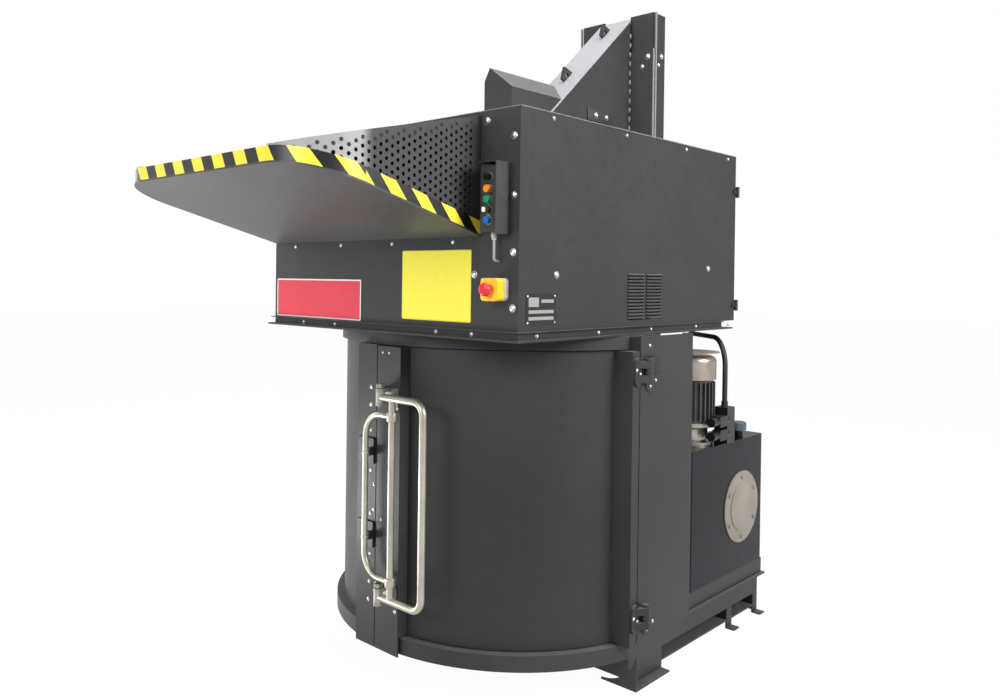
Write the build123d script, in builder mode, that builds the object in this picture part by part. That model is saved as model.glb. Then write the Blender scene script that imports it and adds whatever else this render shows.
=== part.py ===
from build123d import *
import os
from math import asin, atan, cos, degrees, pi, radians, sin, sqrt, tan

# Rotary compactor: a round drum with a swinging door stands on a forkable base.
# A feed hopper sits on the drum, and a mast behind it lifts and lowers an arm whose
# rotor drives a toothed conical roller round inside the drum.
# Frame: Z up from the floor, origin on the drum's axis, the feed chute towards -Y.

# Shared clearances and sheet sizes
seat_gap = 0.3
sheet = 3.0
plate = 6.0

# Drum and its floor pan
drum_radius = 662.0
drum_wall = 5.0
drum_height = 990.0
facet_reach = 540.0
facet_angle = 32.0
rear_reach = 600.0
pan_margin = 28.0
pan_bottom = 103.0
pan_height = 54.0
pan_rim = 40.0
collar_height = 44.0
collar_lip = 18.0

# Base frame
base_margin = 40.0
base_front = -162.0
base_rear = 812.0
base_top = 172.0
base_web_inset = 33.0
deck_thickness = 6.0
foot_one_length = 215.0
pocket_one = 491.0
foot_two_length = 42.0
pocket_two = 187.0
pocket_floor = 30.0
pocket_height = 51.0
toe_height = 124.0
toe_reach = 142.0

# Hopper housing
housing_set_in = 34.0
housing_overhang = 46.0
housing_rear = 650.0
housing_height = 698.0
sill_height = 321.0
skirt_height = 31.0
floor_lip = 20.0
front_post_width = 165.0
front_post_depth = 60.0
arm_slot_left = -104.0
arm_slot_right = 112.0
arm_slot_front = -240.0

# Feed chute
chute_left = -630.0
chute_right = 475.0
chute_lip_y = -1350.0
chute_corner = 190.0
chute_slope = 0.266
chute_sheet = 4.0
chute_lip_height = 42.0
guard_tip = 46.284
guard_hole = 9.0
guard_pitch = 46.0

# Mast, carriage and arm
mast_half = 192.0
mast_front = 712.0
mast_depth = 100.0
mast_rise = 696.0
mast_flange = 18.0
mast_web = 12.0
mast_slot_half = 72.0
lift_stroke = 700.0
slide_gap = 1.0
carriage_rise = 61.0
carriage_height = 470.0
arm_half = 80.0
arm_wall = 8.0
arm_clearance = 36.0
arm_slope = 0.88
arm_foot_y = -64.0
hood_front = -120.0
hood_left = -64.0
hood_eave_rise = 237.0
hood_far_eave_rise = 275.0
hood_ridge_x = -36.0
hood_ridge_rise = 325.0

# Rotor and roller
shaft_radius = 45.0
bearing_radius = 75.0
roller_apex_rise = 14.0
roller_ratio = 0.3
roller_start = 130.0
roller_reach = 480.0
roller_tooth = 18.0
tooth_rows = 8
axle_radius = 18.0
running_gap = 0.05

# Door, latch and hinges
door_gap = 4.0
seam_x = -19.0
strip_width = 118.0
post_width = 98.0
strip_front = -698.0
strip_drop = 60.0
hinge_line_y = -162.0
door_rail = 42.0
hinge_pin_radius = 8.0
knuckle_radius = 15.0
hinge_stand_off = 19.0
hinge_set_back = 22.0
hinge_levels = (1075.0, 252.0)
handle_top = 975.0
handle_bottom = 300.0
handle_tube = 12.5
handle_axis_x = 47.0
handle_axis_y = -737.0
handle_centre_x = 107.0
handle_right_x = 258.0
loop_left_x = -28.0
loop_top = 915.0
loop_bottom = 362.0
loop_drop = 48.0
saddle_levels = (776.0, 486.0)

# Power unit at the right rear
tray_height = 60.0
tank_width = 175.0
tank_length = 595.0
tank_height = 518.0
tank_front = 205.0
cover_radius = 142.0
motor_radius = 92.0
motor_set_back = 189.0
motor_inset = 108.0

# Levels and lengths that follow from the sizes above
pan_radius = drum_radius + pan_margin
base_half = drum_radius + base_margin
housing_half = drum_radius - housing_set_in
housing_front = -drum_radius - housing_overhang
pan_top = pan_bottom + pan_height
drum_top = pan_top + drum_height
housing_bottom = drum_top + collar_height
housing_top = housing_bottom + housing_height
sill = housing_bottom + sill_height
skirt_top = housing_bottom + skirt_height
web_face = base_half - base_web_inset
column_rear = 185.0
tray_top = base_top + tray_height
tank_right = base_half - 12.0
tank_left = tank_right - tank_width
tank_top = tray_top + tank_height
motor_x = tank_right - motor_inset
motor_y = tank_front + motor_set_back
mast_top = housing_top + mast_rise
carriage_bottom = housing_top + carriage_rise
arm_bottom = housing_top + arm_clearance
hood_eave = housing_top + hood_eave_rise
hood_far_eave = housing_top + hood_far_eave_rise
hood_ridge = housing_top + hood_ridge_rise
roller_apex = housing_bottom + roller_apex_rise
hinge_axis_x = base_half + hinge_stand_off
hinge_axis_y = hinge_line_y + hinge_set_back
chute_run = housing_front - chute_lip_y


def save(builder, name):
    """Label a finished piece and write it to its own file."""
    builder.part.label = name
    export_step(builder.part, f"parts/{name}.step")


def drum_outline(inset):
    """The drum in plan: a circle with three flats at the rear, moved inwards by inset."""
    with BuildSketch() as outline:
        Circle(drum_radius - inset)
        flats = ((facet_angle, facet_reach), (180 - facet_angle, facet_reach), (90, rear_reach))
        for angle, reach in flats:
            away = reach - inset + drum_radius
            with Locations(Location((away * cos(radians(angle)), away * sin(radians(angle))), angle)):
                Rectangle(2 * drum_radius, 2 * drum_radius, mode=Mode.SUBTRACT)
    return outline.sketch


def box_between(low, high, mode=Mode.ADD):
    """A box from its lowest to its highest corner."""
    size = [high[i] - low[i] for i in range(3)]
    middle = [(high[i] + low[i]) / 2 for i in range(3)]
    with Locations(Location(middle)):
        Box(*size, mode=mode)


def tube_along(points, radii, radius):
    """A round tube through points, with a bend of its own radius at each corner."""
    with BuildLine() as route:
        FilletPolyline(*points, radius=radii)
    with BuildSketch(Plane(route.line @ 0, z_dir=route.line % 0)) as section:
        Circle(radius)
    sweep(section.sketch, path=route.line)


def cord_along(points, radius, name):
    """A hose or lead with the largest bends that its runs allow; prints bends and length."""
    runs = [Vector(*points[i + 1]) - Vector(*points[i]) for i in range(len(points) - 1)]
    bends = []
    for before, after in zip(runs, runs[1:]):
        half_turn = radians(before.get_angle(after) / 2)
        bends.append(0.45 * min(before.length, after.length) / tan(half_turn))
    with BuildLine() as route:
        FilletPolyline(*points, radius=bends)
    with BuildSketch(Plane(route.line @ 0, z_dir=route.line % 0)) as section:
        Circle(radius)
    sweep(section.sketch, path=route.line)
    length = sum(edge.length for edge in route.edges())
    print(name, "bends", [round(bend, 1) for bend in bends], "length", round(length, 1),
          "section x length", round(pi * radius ** 2 * length))


# Base frame: two outward channels cut away into feet, two fork pockets across,
# end beams and the deck that the drum stands on, all welded into one.
foot_one_end = base_front + foot_one_length
pocket_one_end = foot_one_end + pocket_one
foot_two_end = pocket_one_end + foot_two_length
pocket_two_end = foot_two_end + pocket_two
feet = ((base_front, foot_one_end), (pocket_one_end, foot_two_end), (pocket_two_end, base_rear))
pockets = ((foot_one_end, pocket_one_end), (foot_two_end, pocket_two_end))
with BuildPart() as base_frame:
    for side in (-1, 1):
        low_x, high_x = sorted((side * (web_face - plate), side * web_face))
        out_low, out_high = sorted((side * web_face, side * base_half))
        box_between((low_x, base_front, pocket_floor), (high_x, base_rear, base_top))
        box_between((out_low, base_front, base_top - plate), (out_high, base_rear, base_top))
        for start, end in feet:
            box_between((low_x, start, 0), (high_x, end, pocket_floor))
            box_between((out_low, start, 0), (out_high, end, plate))
    # fork pockets right across the frame
    for start, end in pockets:
        box_between((-web_face, start - plate, pocket_floor),
                    (web_face, end + plate, pocket_floor + pocket_height + plate))
        box_between((-base_half, start, pocket_floor + plate),
                    (base_half, end, pocket_floor + pocket_height), mode=Mode.SUBTRACT)
    # end beams and deck
    box_between((-web_face, base_front, pocket_floor), (web_face, base_front + plate, pan_top))
    box_between((-web_face, mast_front, pan_top - deck_thickness), (web_face, base_rear, base_top))
    box_between((-web_face, base_rear - plate, 0), (web_face, base_rear, base_top))
    box_between((-web_face, base_front, pan_top - deck_thickness), (web_face, base_rear, pan_top))
    # curved toe plates that close the channels at the front
    for side in (-1, 1):
        with BuildSketch(Plane.XZ.offset(-base_front)):
            with BuildLine():
                Line((side * base_half, 0), (side * (base_half - toe_reach), 0))
                Line((side * (base_half - toe_reach), 0), (side * (base_half - toe_reach), plate))
                ThreePointArc((side * (base_half - toe_reach), plate),
                              (side * (base_half - toe_reach * 0.36), toe_height * 0.33),
                              (side * base_half, toe_height))
                Line((side * base_half, toe_height), (side * base_half, 0))
            make_face()
        extrude(amount=-plate)
save(base_frame, "base_frame")

# Floor pan: the round sill in front of the base that the door closes on.
with BuildPart() as floor_pan:
    with BuildSketch(Plane.XY.offset(pan_bottom)):
        Circle(pan_radius)
        with Locations((0, base_front + pan_radius)):
            Rectangle(3 * pan_radius, 2 * pan_radius, mode=Mode.SUBTRACT)
    extrude(amount=pan_height)
    with BuildSketch(Plane.XY.offset(pan_bottom)):
        Circle(pan_radius - pan_rim)
        with Locations((0, base_front - pan_rim / 2 + pan_radius)):
            Rectangle(3 * pan_radius, 2 * pan_radius, mode=Mode.SUBTRACT)
    extrude(amount=pan_height - deck_thickness, mode=Mode.SUBTRACT)
save(floor_pan, "floor_pan")

# Drum wall: one rolled and folded sheet from the latch post round the back to the hinge side.
with BuildPart() as drum_wall_part:
    with BuildSketch(Plane.XY.offset(pan_top)):
        add(drum_outline(0))
        add(drum_outline(drum_wall), mode=Mode.SUBTRACT)
        opening_left = seam_x - post_width + plate
        with Locations((opening_left + drum_radius, hinge_line_y - drum_radius)):
            Rectangle(2 * drum_radius, 2 * drum_radius, mode=Mode.SUBTRACT)
    extrude(amount=drum_height)
save(drum_wall_part, "drum_wall")

# Latch post: a folded channel at the front that the door shuts against.
post_left = seam_x - post_width
with BuildPart() as latch_post:
    box_between((post_left, strip_front, pan_top - strip_drop), (seam_x, strip_front + plate, drum_top))
    box_between((post_left, strip_front + plate, pan_top),
                (post_left + plate - seat_gap, -drum_radius + plate, drum_top))
    box_between((seam_x - plate, strip_front + plate, pan_top), (seam_x, -drum_radius + 30, drum_top))
save(latch_post, "latch_post")

# Side columns: folded channels beside the drum that carry the hopper.
with BuildPart() as side_columns:
    for side in (-1, 1):
        with BuildSketch(Plane.XY.offset(base_top)):
            low_x, high_x = sorted((side * (base_half - plate), side * base_half))
            with Locations(((low_x + high_x) / 2, (hinge_line_y + column_rear) / 2)):
                Rectangle(plate, column_rear - hinge_line_y)
            for y in (hinge_line_y + plate / 2, column_rear - plate / 2):
                inner = drum_radius + seat_gap
                with Locations((side * (inner + base_half - plate) / 2, y)):
                    Rectangle(base_half - plate - inner, plate)
        extrude(amount=housing_bottom - base_top)
save(side_columns, "side_columns")

# Drum collar: the stiff ring round the top of the drum, under the hopper.
with BuildPart() as drum_collar:
    with BuildSketch(Plane.XY.offset(drum_top)):
        add(drum_outline(-collar_lip))
        add(drum_outline(pan_rim), mode=Mode.SUBTRACT)
        for side in (-1, 1):
            with Locations((side * (drum_radius + base_half), (hinge_line_y + column_rear) / 2)):
                Rectangle(2 * base_half, column_rear - hinge_line_y + 2, mode=Mode.SUBTRACT)
    extrude(amount=collar_height)
save(drum_collar, "drum_collar")

# Door skin: the curved sheet of the door.
door_bottom = pan_top + door_gap
door_height = drum_height - 2 * door_gap
door_right_y = hinge_line_y - door_gap
post_inner_x = sqrt(drum_radius ** 2 - (door_right_y - door_rail) ** 2)
with BuildPart() as door_skin:
    with BuildSketch(Plane.XY.offset(door_bottom)):
        Circle(drum_radius)
        Circle(drum_radius - drum_wall, mode=Mode.SUBTRACT)
        with Locations((seam_x + door_gap + drum_radius, door_right_y - door_rail - seat_gap - drum_radius)):
            Rectangle(2 * drum_radius, 2 * drum_radius, mode=Mode.INTERSECT)
    extrude(amount=door_height)
save(door_skin, "door_skin")

# Door frame: curved top and bottom rails, the latch stile and the hinge stile, welded.
strip_left = seam_x + door_gap
strip_right = strip_left + strip_width
with BuildPart() as door_frame:
    for low in (door_bottom, door_bottom + door_height - door_rail):
        with BuildSketch(Plane.XY.offset(low)):
            Circle(drum_radius - drum_wall - seat_gap)
            Circle(drum_radius - drum_wall - door_rail, mode=Mode.SUBTRACT)
            with Locations((strip_left + drum_radius, door_right_y - drum_radius)):
                Rectangle(2 * drum_radius, 2 * drum_radius, mode=Mode.INTERSECT)
        extrude(amount=door_rail)
    # hinge stile: a closed box outside the skin's end
    box_between((post_inner_x - door_rail, door_right_y - door_rail, door_bottom),
                (base_half, door_right_y, door_bottom + door_height))
    box_between((post_inner_x - door_rail + plate, door_right_y - door_rail + plate, door_bottom + plate),
                (base_half - plate, door_right_y - plate, door_bottom + door_height - plate),
                mode=Mode.SUBTRACT)
    # latch stile: a flat strip in front of the skin on two webs and a back web to the rails
    box_between((strip_left, strip_front, pan_top - strip_drop),
                (strip_right, strip_front + plate, door_bottom + door_height))
    strip_back = sqrt(drum_radius ** 2 - (strip_right - plate) ** 2)
    box_between((strip_right - plate, strip_front + plate, door_bottom),
                (strip_right, -strip_back - seat_gap, door_bottom + door_height))
    box_between((strip_left - door_gap + seat_gap, strip_front + plate, door_bottom),
                (strip_left - seat_gap, -drum_radius + drum_wall + door_rail, door_bottom + door_height))
    box_between((strip_left - door_gap + seat_gap, strip_front + plate / 2, door_bottom),
                (strip_left + plate, strip_front + plate, door_bottom + door_height))
    box_between((strip_left - door_gap + seat_gap, -drum_radius + drum_wall + seat_gap + plate, door_bottom),
                (strip_left + plate, -drum_radius + drum_wall + door_rail, door_bottom + door_height))
save(door_frame, "door_frame")

# Door hinges: rounded leaves with knuckles, one pair on the column and one on the door.
leaf_thickness = 8.0
leaf_reach = 46.0
knuckle_height = 24.0
with BuildPart() as column_hinges:
    for level in hinge_levels:
        with BuildSketch(Plane.YZ.offset(base_half)):
            with Locations(((hinge_line_y + leaf_reach / 2 + 6, level - 6))):
                SlotOverall(2 * leaf_reach, leaf_reach, rotation=-25)
            with Locations((hinge_line_y - leaf_reach, level)):
                Rectangle(2 * leaf_reach, 4 * leaf_reach, mode=Mode.SUBTRACT)
        extrude(amount=leaf_thickness)
        with BuildSketch(Plane.XY.offset(level - knuckle_height / 2)):
            with Locations((hinge_axis_x, hinge_axis_y)):
                Circle(knuckle_radius)
            with Locations((base_half + leaf_thickness / 2, hinge_axis_y)):
                Rectangle(leaf_thickness, 2 * knuckle_radius)
        extrude(amount=knuckle_height)
        box_between((0, -1000, level - 200), (base_half, 1000, level + 200), mode=Mode.SUBTRACT)
        for lift in (-1, 1):
            with Locations((hinge_axis_x, hinge_axis_y, level + lift * (knuckle_height + seat_gap))):
                Cylinder(2 * knuckle_radius, knuckle_height + seat_gap, mode=Mode.SUBTRACT)
        with Locations((hinge_axis_x, hinge_axis_y, level)):
            Cylinder(hinge_pin_radius, 3 * knuckle_height + 4)
        with Locations((hinge_axis_x, hinge_axis_y, level + 1.5 * knuckle_height + seat_gap + 4)):
            Cylinder(hinge_pin_radius + 4, 6)
save(column_hinges, "column_hinges")

with BuildPart() as door_hinges:
    for level in hinge_levels:
        for lift in (-1, 1):
            middle = level + lift * (knuckle_height + seat_gap)
            with BuildSketch(Plane.XY.offset(middle - knuckle_height / 2)):
                with Locations((hinge_axis_x, hinge_axis_y)):
                    Circle(knuckle_radius)
                    Circle(hinge_pin_radius + running_gap, mode=Mode.SUBTRACT)
            extrude(amount=knuckle_height)
            with BuildSketch(Plane.XY.offset(middle - knuckle_height / 2)):
                with BuildLine():
                    Polyline((base_half, door_right_y), (base_half, door_right_y - 20),
                             (base_half + leaf_thickness, door_right_y - 20),
                             (hinge_axis_x + knuckle_radius * 0.7, hinge_axis_y - knuckle_radius * 0.8),
                             (hinge_axis_x - knuckle_radius * 0.6, hinge_axis_y - knuckle_radius * 0.85),
                             (base_half, door_right_y))
                make_face()
                with Locations((hinge_axis_x, hinge_axis_y)):
                    Circle(hinge_pin_radius + running_gap, mode=Mode.SUBTRACT)
            extrude(amount=knuckle_height)
        with BuildSketch(Plane.YZ.offset(base_half)):
            with Locations((door_right_y - leaf_reach / 2 + 8, level)):
                SlotOverall(4 * knuckle_height, leaf_reach, rotation=90)
            with Locations((door_right_y + leaf_reach, level)):
                Rectangle(2 * leaf_reach, 6 * leaf_reach, mode=Mode.SUBTRACT)
        extrude(amount=leaf_thickness)
save(door_hinges, "door_hinges")

# Latch handle: one bent and welded tube frame that turns on two pins beside the seam.
handle_bend = 42.0
with BuildPart() as latch_handle:
    tube_along(((handle_axis_x, handle_axis_y, handle_top),
                (handle_right_x, handle_axis_y, handle_top),
                (handle_right_x, handle_axis_y, handle_bottom),
                (handle_axis_x, handle_axis_y, handle_bottom)), handle_bend, handle_tube)
    with Locations((handle_centre_x, handle_axis_y, (handle_top + handle_bottom) / 2)):
        Cylinder(handle_tube - 1, handle_top - handle_bottom)
    # lugs that turn on the pivot pins
    for level in (handle_top, handle_bottom):
        with Locations((handle_axis_x, handle_axis_y, level)):
            Cylinder(handle_tube + 3, 34)
            Cylinder(7 + running_gap, 60, mode=Mode.SUBTRACT)
save(latch_handle, "latch_handle")

# Latch loop: the smaller bent tube that hooks on the post, turning on the handle's centre tube.
loop_bend = 60.0
loop_radius = 10.0
with BuildPart() as latch_loop:
    tube_along(((handle_centre_x, handle_axis_y, loop_top),
                (loop_left_x + 30, handle_axis_y, loop_top),
                (loop_left_x, handle_axis_y, loop_top - loop_drop - 60),
                (loop_left_x, handle_axis_y, loop_bottom + loop_drop + 60),
                (loop_left_x + 30, handle_axis_y, loop_bottom),
                (handle_centre_x, handle_axis_y, loop_bottom)),
               (40, loop_bend, loop_bend, 40), loop_radius)
    for level in (loop_top, loop_bottom):
        with Locations((handle_centre_x, handle_axis_y, level)):
            Cylinder(handle_tube + 7, 30)
            Cylinder(handle_tube - 1 + running_gap, 60, mode=Mode.SUBTRACT)
    # sleeves where the loop lies in its saddles
    for level in saddle_levels:
        with Locations((loop_left_x, handle_axis_y, level)):
            Cylinder(loop_radius + 4, 38)
save(latch_loop, "latch_loop")

# Latch brackets: bolted plates on the door stile with the lugs and pins that carry the handle.
with BuildPart() as latch_brackets:
    for level, lift in ((handle_top, 1), (handle_bottom, -1)):
        box_between((strip_left + 6, strip_front - 8, level - 30), (strip_right - 6, strip_front, level + 30))
        for gap in (-1, 1):
            middle = level + gap * (17 + seat_gap + 6)
            box_between((handle_axis_x - 16, handle_axis_y, middle - 6),
                        (handle_axis_x + 16, strip_front - 4, middle + 6))
            with Locations((handle_axis_x, handle_axis_y, middle)):
                Cylinder(16, 12)
        with Locations((handle_axis_x, handle_axis_y, level)):
            Cylinder(7, 66)
        with Locations((handle_axis_x, handle_axis_y, level + 38)):
            Cylinder(13, 10)
save(latch_brackets, "latch_brackets")

# Loop saddles: forked blocks bolted on the post that hold the loop's sleeves.
with BuildPart() as loop_saddles:
    for level in saddle_levels:
        box_between((post_left + 12, strip_front - 8, level - 44), (seam_x - 4, strip_front, level + 44))
        box_between((loop_left_x - 12, handle_axis_y + loop_radius + 4 + seat_gap, level - 13),
                    (seam_x - 6, strip_front - 4, level + 13))
save(loop_saddles, "loop_saddles")

front_right = housing_half - front_post_width

# Housing floor: the lipped plate and rail that the hopper's panels stand on.
rail_lip = 12.0
rail_rear = 545.0
floor_rear = 600.0
with BuildPart() as housing_floor:
    box_between((-housing_half - floor_lip, housing_front - floor_lip, housing_bottom),
                (housing_half + floor_lip, floor_rear, housing_bottom + plate))
    box_between((-housing_half, housing_front, housing_bottom), (housing_half, rail_rear, skirt_top))
    box_between((-housing_half - rail_lip, housing_front - rail_lip, skirt_top - sheet),
                (housing_half + rail_lip, rail_rear, skirt_top))
    box_between((-housing_half + 36, housing_front + 36, housing_bottom + plate),
                (housing_half - 36, rail_rear + 1, skirt_top + 1), mode=Mode.SUBTRACT)
    with BuildSketch(Plane.XY.offset(housing_bottom)):
        add(drum_outline(pan_rim))
    extrude(amount=skirt_height + 1, mode=Mode.SUBTRACT)
    box_between((arm_slot_left, rail_rear - 40, housing_bottom - 1),
                (arm_slot_right, floor_rear + 1, skirt_top + 1), mode=Mode.SUBTRACT)
save(housing_floor, "housing_floor")

# Hopper panels: flat sheets with folded edges, bolted together at the corners.
panel_bottom = skirt_top
with BuildPart() as front_panel:
    box_between((-housing_half + sheet, housing_front, panel_bottom),
                (front_right - seat_gap, housing_front + sheet, sill))
    box_between((-housing_half + sheet, housing_front + sheet, sill - sheet),
                (front_right - seat_gap, housing_front + 30, sill))
save(front_panel, "front_panel")

with BuildPart() as front_post:
    with BuildSketch(Plane.XY.offset(panel_bottom)):
        with Locations(((front_right + housing_half) / 2, housing_front + front_post_depth / 2)):
            Rectangle(front_post_width, front_post_depth)
            with Locations((0, sheet)):
                Rectangle(front_post_width - 2 * sheet, front_post_depth, mode=Mode.SUBTRACT)
    extrude(amount=housing_top - panel_bottom)
save(front_post, "front_post")

# Right side panel: sheet with two columns of pressed cooling slots near its foot.
louvre_rows = 14
louvre_pitch = 11.5
louvre_width = 104.0
louvre_slot = 5.0
louvre_y = -25.0
louvre_z = 1320.0
with BuildPart() as right_panel:
    box_between((housing_half - sheet, housing_front + front_post_depth + seat_gap, panel_bottom),
                (housing_half, housing_rear, housing_top))
    box_between((housing_half - 30, housing_rear - sheet, panel_bottom),
                (housing_half - sheet, housing_rear, housing_top))
    with BuildSketch(Plane.YZ.offset(housing_half)):
        with Locations((louvre_y, louvre_z)):
            with GridLocations(louvre_width + 12, louvre_pitch, 2, louvre_rows):
                Rectangle(louvre_width, louvre_slot)
    extrude(amount=-sheet, mode=Mode.SUBTRACT)
save(right_panel, "right_panel")

with BuildPart() as left_panel:
    box_between((-housing_half, housing_front, panel_bottom), (-housing_half + sheet, housing_rear, housing_top))
    box_between((-housing_half + sheet, housing_rear - sheet, panel_bottom),
                (-housing_half + 30, housing_rear, housing_top))
save(left_panel, "left_panel")

# Rear panel: two fixed sheets either side of the arm's slot, with a service opening on the right.
service_left = 265.0
service_right = housing_half - 40
service_bottom = housing_bottom + 60
service_top = housing_top - 40
with BuildPart() as rear_panels:
    box_between((-housing_half + 30 + seat_gap, housing_rear - sheet, panel_bottom),
                (arm_slot_left, housing_rear, housing_top - sheet - seat_gap))
    box_between((arm_slot_left - sheet, housing_rear - 30, panel_bottom),
                (arm_slot_left, housing_rear, housing_top - sheet - seat_gap))
    box_between((arm_slot_right, housing_rear - sheet, panel_bottom),
                (housing_half - 30 - seat_gap, housing_rear, housing_top - sheet - seat_gap))
    box_between((service_left + 12, housing_rear - 2 * sheet, service_bottom + 12),
                (service_right - 12, housing_rear + 1, service_top - 12), mode=Mode.SUBTRACT)
    box_between((arm_slot_right, housing_rear - 30, panel_bottom),
                (arm_slot_right + sheet, housing_rear, housing_top - sheet - seat_gap))
save(rear_panels, "rear_panels")

# Service door: a folded lid over the rear opening, on two black block hinges.
service_axis_x = housing_half + 5
service_axis_y = housing_rear + 9
with BuildPart() as service_door:
    box_between((service_left, housing_rear + seat_gap, service_bottom),
                (housing_half - 14, housing_rear + seat_gap + sheet, service_top))
    box_between((service_left, housing_rear + seat_gap + sheet, service_bottom),
                (service_left + sheet, housing_rear + 14, service_top))
    with Locations((service_left + 40, housing_rear + seat_gap + sheet + 6, (service_bottom + service_top) / 2)):
        Cylinder(11, 12, rotation=(90, 0, 0))
save(service_door, "service_door")

service_levels = (1284.0, 1745.0)
with BuildPart() as service_hinge_blocks:
    for level in service_levels:
        with Locations((service_axis_x, service_axis_y, level)):
            Cylinder(7, 18)
            Cylinder(3, 46)
        box_between((housing_half, housing_rear - 22, level - 9), (housing_half + 5, service_axis_y, level + 9))
save(service_hinge_blocks, "service_hinge_blocks")

with BuildPart() as service_hinge_leaves:
    for level in service_levels:
        for lift in (-1, 1):
            middle = level + lift * (9 + seat_gap + 6)
            with Locations((service_axis_x, service_axis_y, middle)):
                Cylinder(7, 12)
            box_between((housing_half - 44, housing_rear + seat_gap + sheet, middle - 6),
                        (service_axis_x, housing_rear + seat_gap + 2 * sheet, middle + 6))
            with Locations((service_axis_x, service_axis_y, middle)):
                Cylinder(3 + running_gap, 13, mode=Mode.SUBTRACT)
        box_between((housing_half - 44, housing_rear + seat_gap + sheet, level - 9 - seat_gap),
                    (housing_half - 10, housing_rear + seat_gap + 2 * sheet, level + 9 + seat_gap))
save(service_hinge_leaves, "service_hinge_leaves")

# Roof: one sheet with the slot that lets the arm down.
with BuildPart() as roof_panel:
    box_between((-housing_half + sheet + seat_gap, housing_front, housing_top - sheet),
                (front_right - seat_gap, housing_rear - sheet - seat_gap, housing_top))
    box_between((front_right - seat_gap, housing_front + front_post_depth + seat_gap, housing_top - sheet),
                (housing_half - sheet - seat_gap, housing_rear - sheet - seat_gap, housing_top))
    box_between((arm_slot_left, arm_slot_front, housing_top - 2 * sheet),
                (arm_slot_right, housing_rear + 1, housing_top + 1), mode=Mode.SUBTRACT)
    # stiffening folds along the slot and the front edge
    for x in (arm_slot_left - sheet, arm_slot_right):
        box_between((x, arm_slot_front, housing_top - 40), (x + sheet, housing_rear - 34, housing_top))
    box_between((arm_slot_left - sheet, arm_slot_front - sheet, housing_top - 40),
                (arm_slot_right + sheet, arm_slot_front, housing_top))
    box_between((-housing_half + sheet + seat_gap, housing_front, housing_top - 40),
                (front_right - seat_gap, housing_front + sheet, housing_top - sheet))
save(roof_panel, "roof_panel")


def chute_plan(inset):
    """The chute in plan from the sill to its lip, with both outer corners rounded."""
    with BuildSketch() as plan:
        middle = (chute_left + chute_right) / 2
        with Locations((middle, (housing_front + chute_lip_y) / 2)):
            Rectangle(chute_right - chute_left - 2 * inset, housing_front - chute_lip_y - 2 * inset)
        fillet(plan.vertices().group_by(Axis.Y)[0], chute_corner - inset)
        with Locations((middle, housing_front - inset / 2 - 1)):
            Rectangle(chute_right - chute_left - 2 * inset, inset + 2)
    return plan.sketch


def slope_slab(low, high):
    """A sheet that rises towards the chute's lip, from low to high above the chute's plane."""
    with BuildSketch(Plane.YZ.offset(2 * chute_left)) as side_view:
        rise = chute_slope * (housing_front - 2 * chute_lip_y)
        with BuildLine():
            Polyline((housing_front, sill + low), (2 * chute_lip_y, sill + rise + low),
                     (2 * chute_lip_y, sill + rise + high), (housing_front, sill + high),
                     (housing_front, sill + low))
        make_face()
    extrude(side_view.sketch, amount=-4 * chute_left, mode=Mode.INTERSECT)


# Feed chute: one sheet that rises from the sill, with an upturned lip round its edge.
with BuildPart() as chute_tray:
    with BuildSketch(Plane.XY.offset(sill - 100)):
        add(chute_plan(0))
    extrude(amount=housing_top - sill + 200)
    with BuildSketch(Plane.XY.offset(sill - 100)):
        add(chute_plan(chute_sheet))
    extrude(amount=housing_top - sill + 200, mode=Mode.SUBTRACT)
    slope_slab(-chute_sheet, chute_lip_height)
with BuildPart() as chute_floor:
    with BuildSketch(Plane.XY.offset(sill - 100)):
        add(chute_plan(chute_sheet / 2))
    extrude(amount=housing_top - sill + 200)
    slope_slab(-chute_sheet, 0)
with BuildPart() as chute:
    add(chute_tray.part)
    add(chute_floor.part)
save(chute, "chute_tray")

# Chute guards: perforated sheets that stand inside the lip on both sides.
guard_top = housing_top - 11
guard_fall = (guard_top - guard_tip - sill) / chute_run - chute_slope
guard_length = housing_front - chute_lip_y - chute_corner - 30 - guard_hole
hole_steps_y = int(guard_length / (guard_pitch / 2)) + 1
hole_steps_z = int((guard_top - sill) / guard_pitch) + 2
guards = []
for side in (-1, 1):
    wall_x = chute_right - chute_sheet - seat_gap if side > 0 else chute_left + chute_sheet + seat_gap
    with BuildPart() as guard:
        with BuildSketch(Plane.XY.offset(sill)):
            add(chute_plan(chute_sheet + seat_gap))
            add(chute_plan(chute_sheet + seat_gap + sheet), mode=Mode.SUBTRACT)
            far = -side * (chute_right - chute_left) / 2
            with Locations((wall_x + far - side * chute_corner, (housing_front + chute_lip_y) / 2)):
                Rectangle(chute_right - chute_left, housing_front - chute_lip_y, mode=Mode.SUBTRACT)
            with Locations((wall_x, housing_front)):
                Rectangle(8 * sheet, 2 * seat_gap, mode=Mode.SUBTRACT)
        extrude(amount=housing_top - sill)
        # the sheet's side outline: the chute's slope below and the guard's own fall above
        with BuildSketch(Plane.YZ.offset(wall_x - 2 * chute_corner)):
            with BuildLine():
                Polyline((housing_front, sill + seat_gap),
                         (chute_lip_y, sill + chute_slope * chute_run + seat_gap),
                         (chute_lip_y, guard_top - guard_fall * chute_run),
                         (housing_front, guard_top), (housing_front, sill + seat_gap))
            make_face()
        extrude(amount=4 * chute_corner, mode=Mode.INTERSECT)
        with BuildSketch(Plane.YZ.offset(wall_x - 5 * sheet)):
            for column in range(hole_steps_y):
                for row in range(hole_steps_z):
                    y = housing_front - 30 - guard_pitch / 2 * column
                    z = sill + guard_pitch * (row + (column % 2) / 2)
                    below = sill + chute_slope * (housing_front - y) + chute_lip_height + guard_hole
                    above = guard_top - guard_fall * (housing_front - y) - 2 * guard_hole
                    if below < z < above:
                        with Locations((y, z)):
                            RegularPolygon(guard_hole, 6)
        extrude(amount=10 * sheet, mode=Mode.SUBTRACT)
    guards.append(guard.part)
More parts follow.
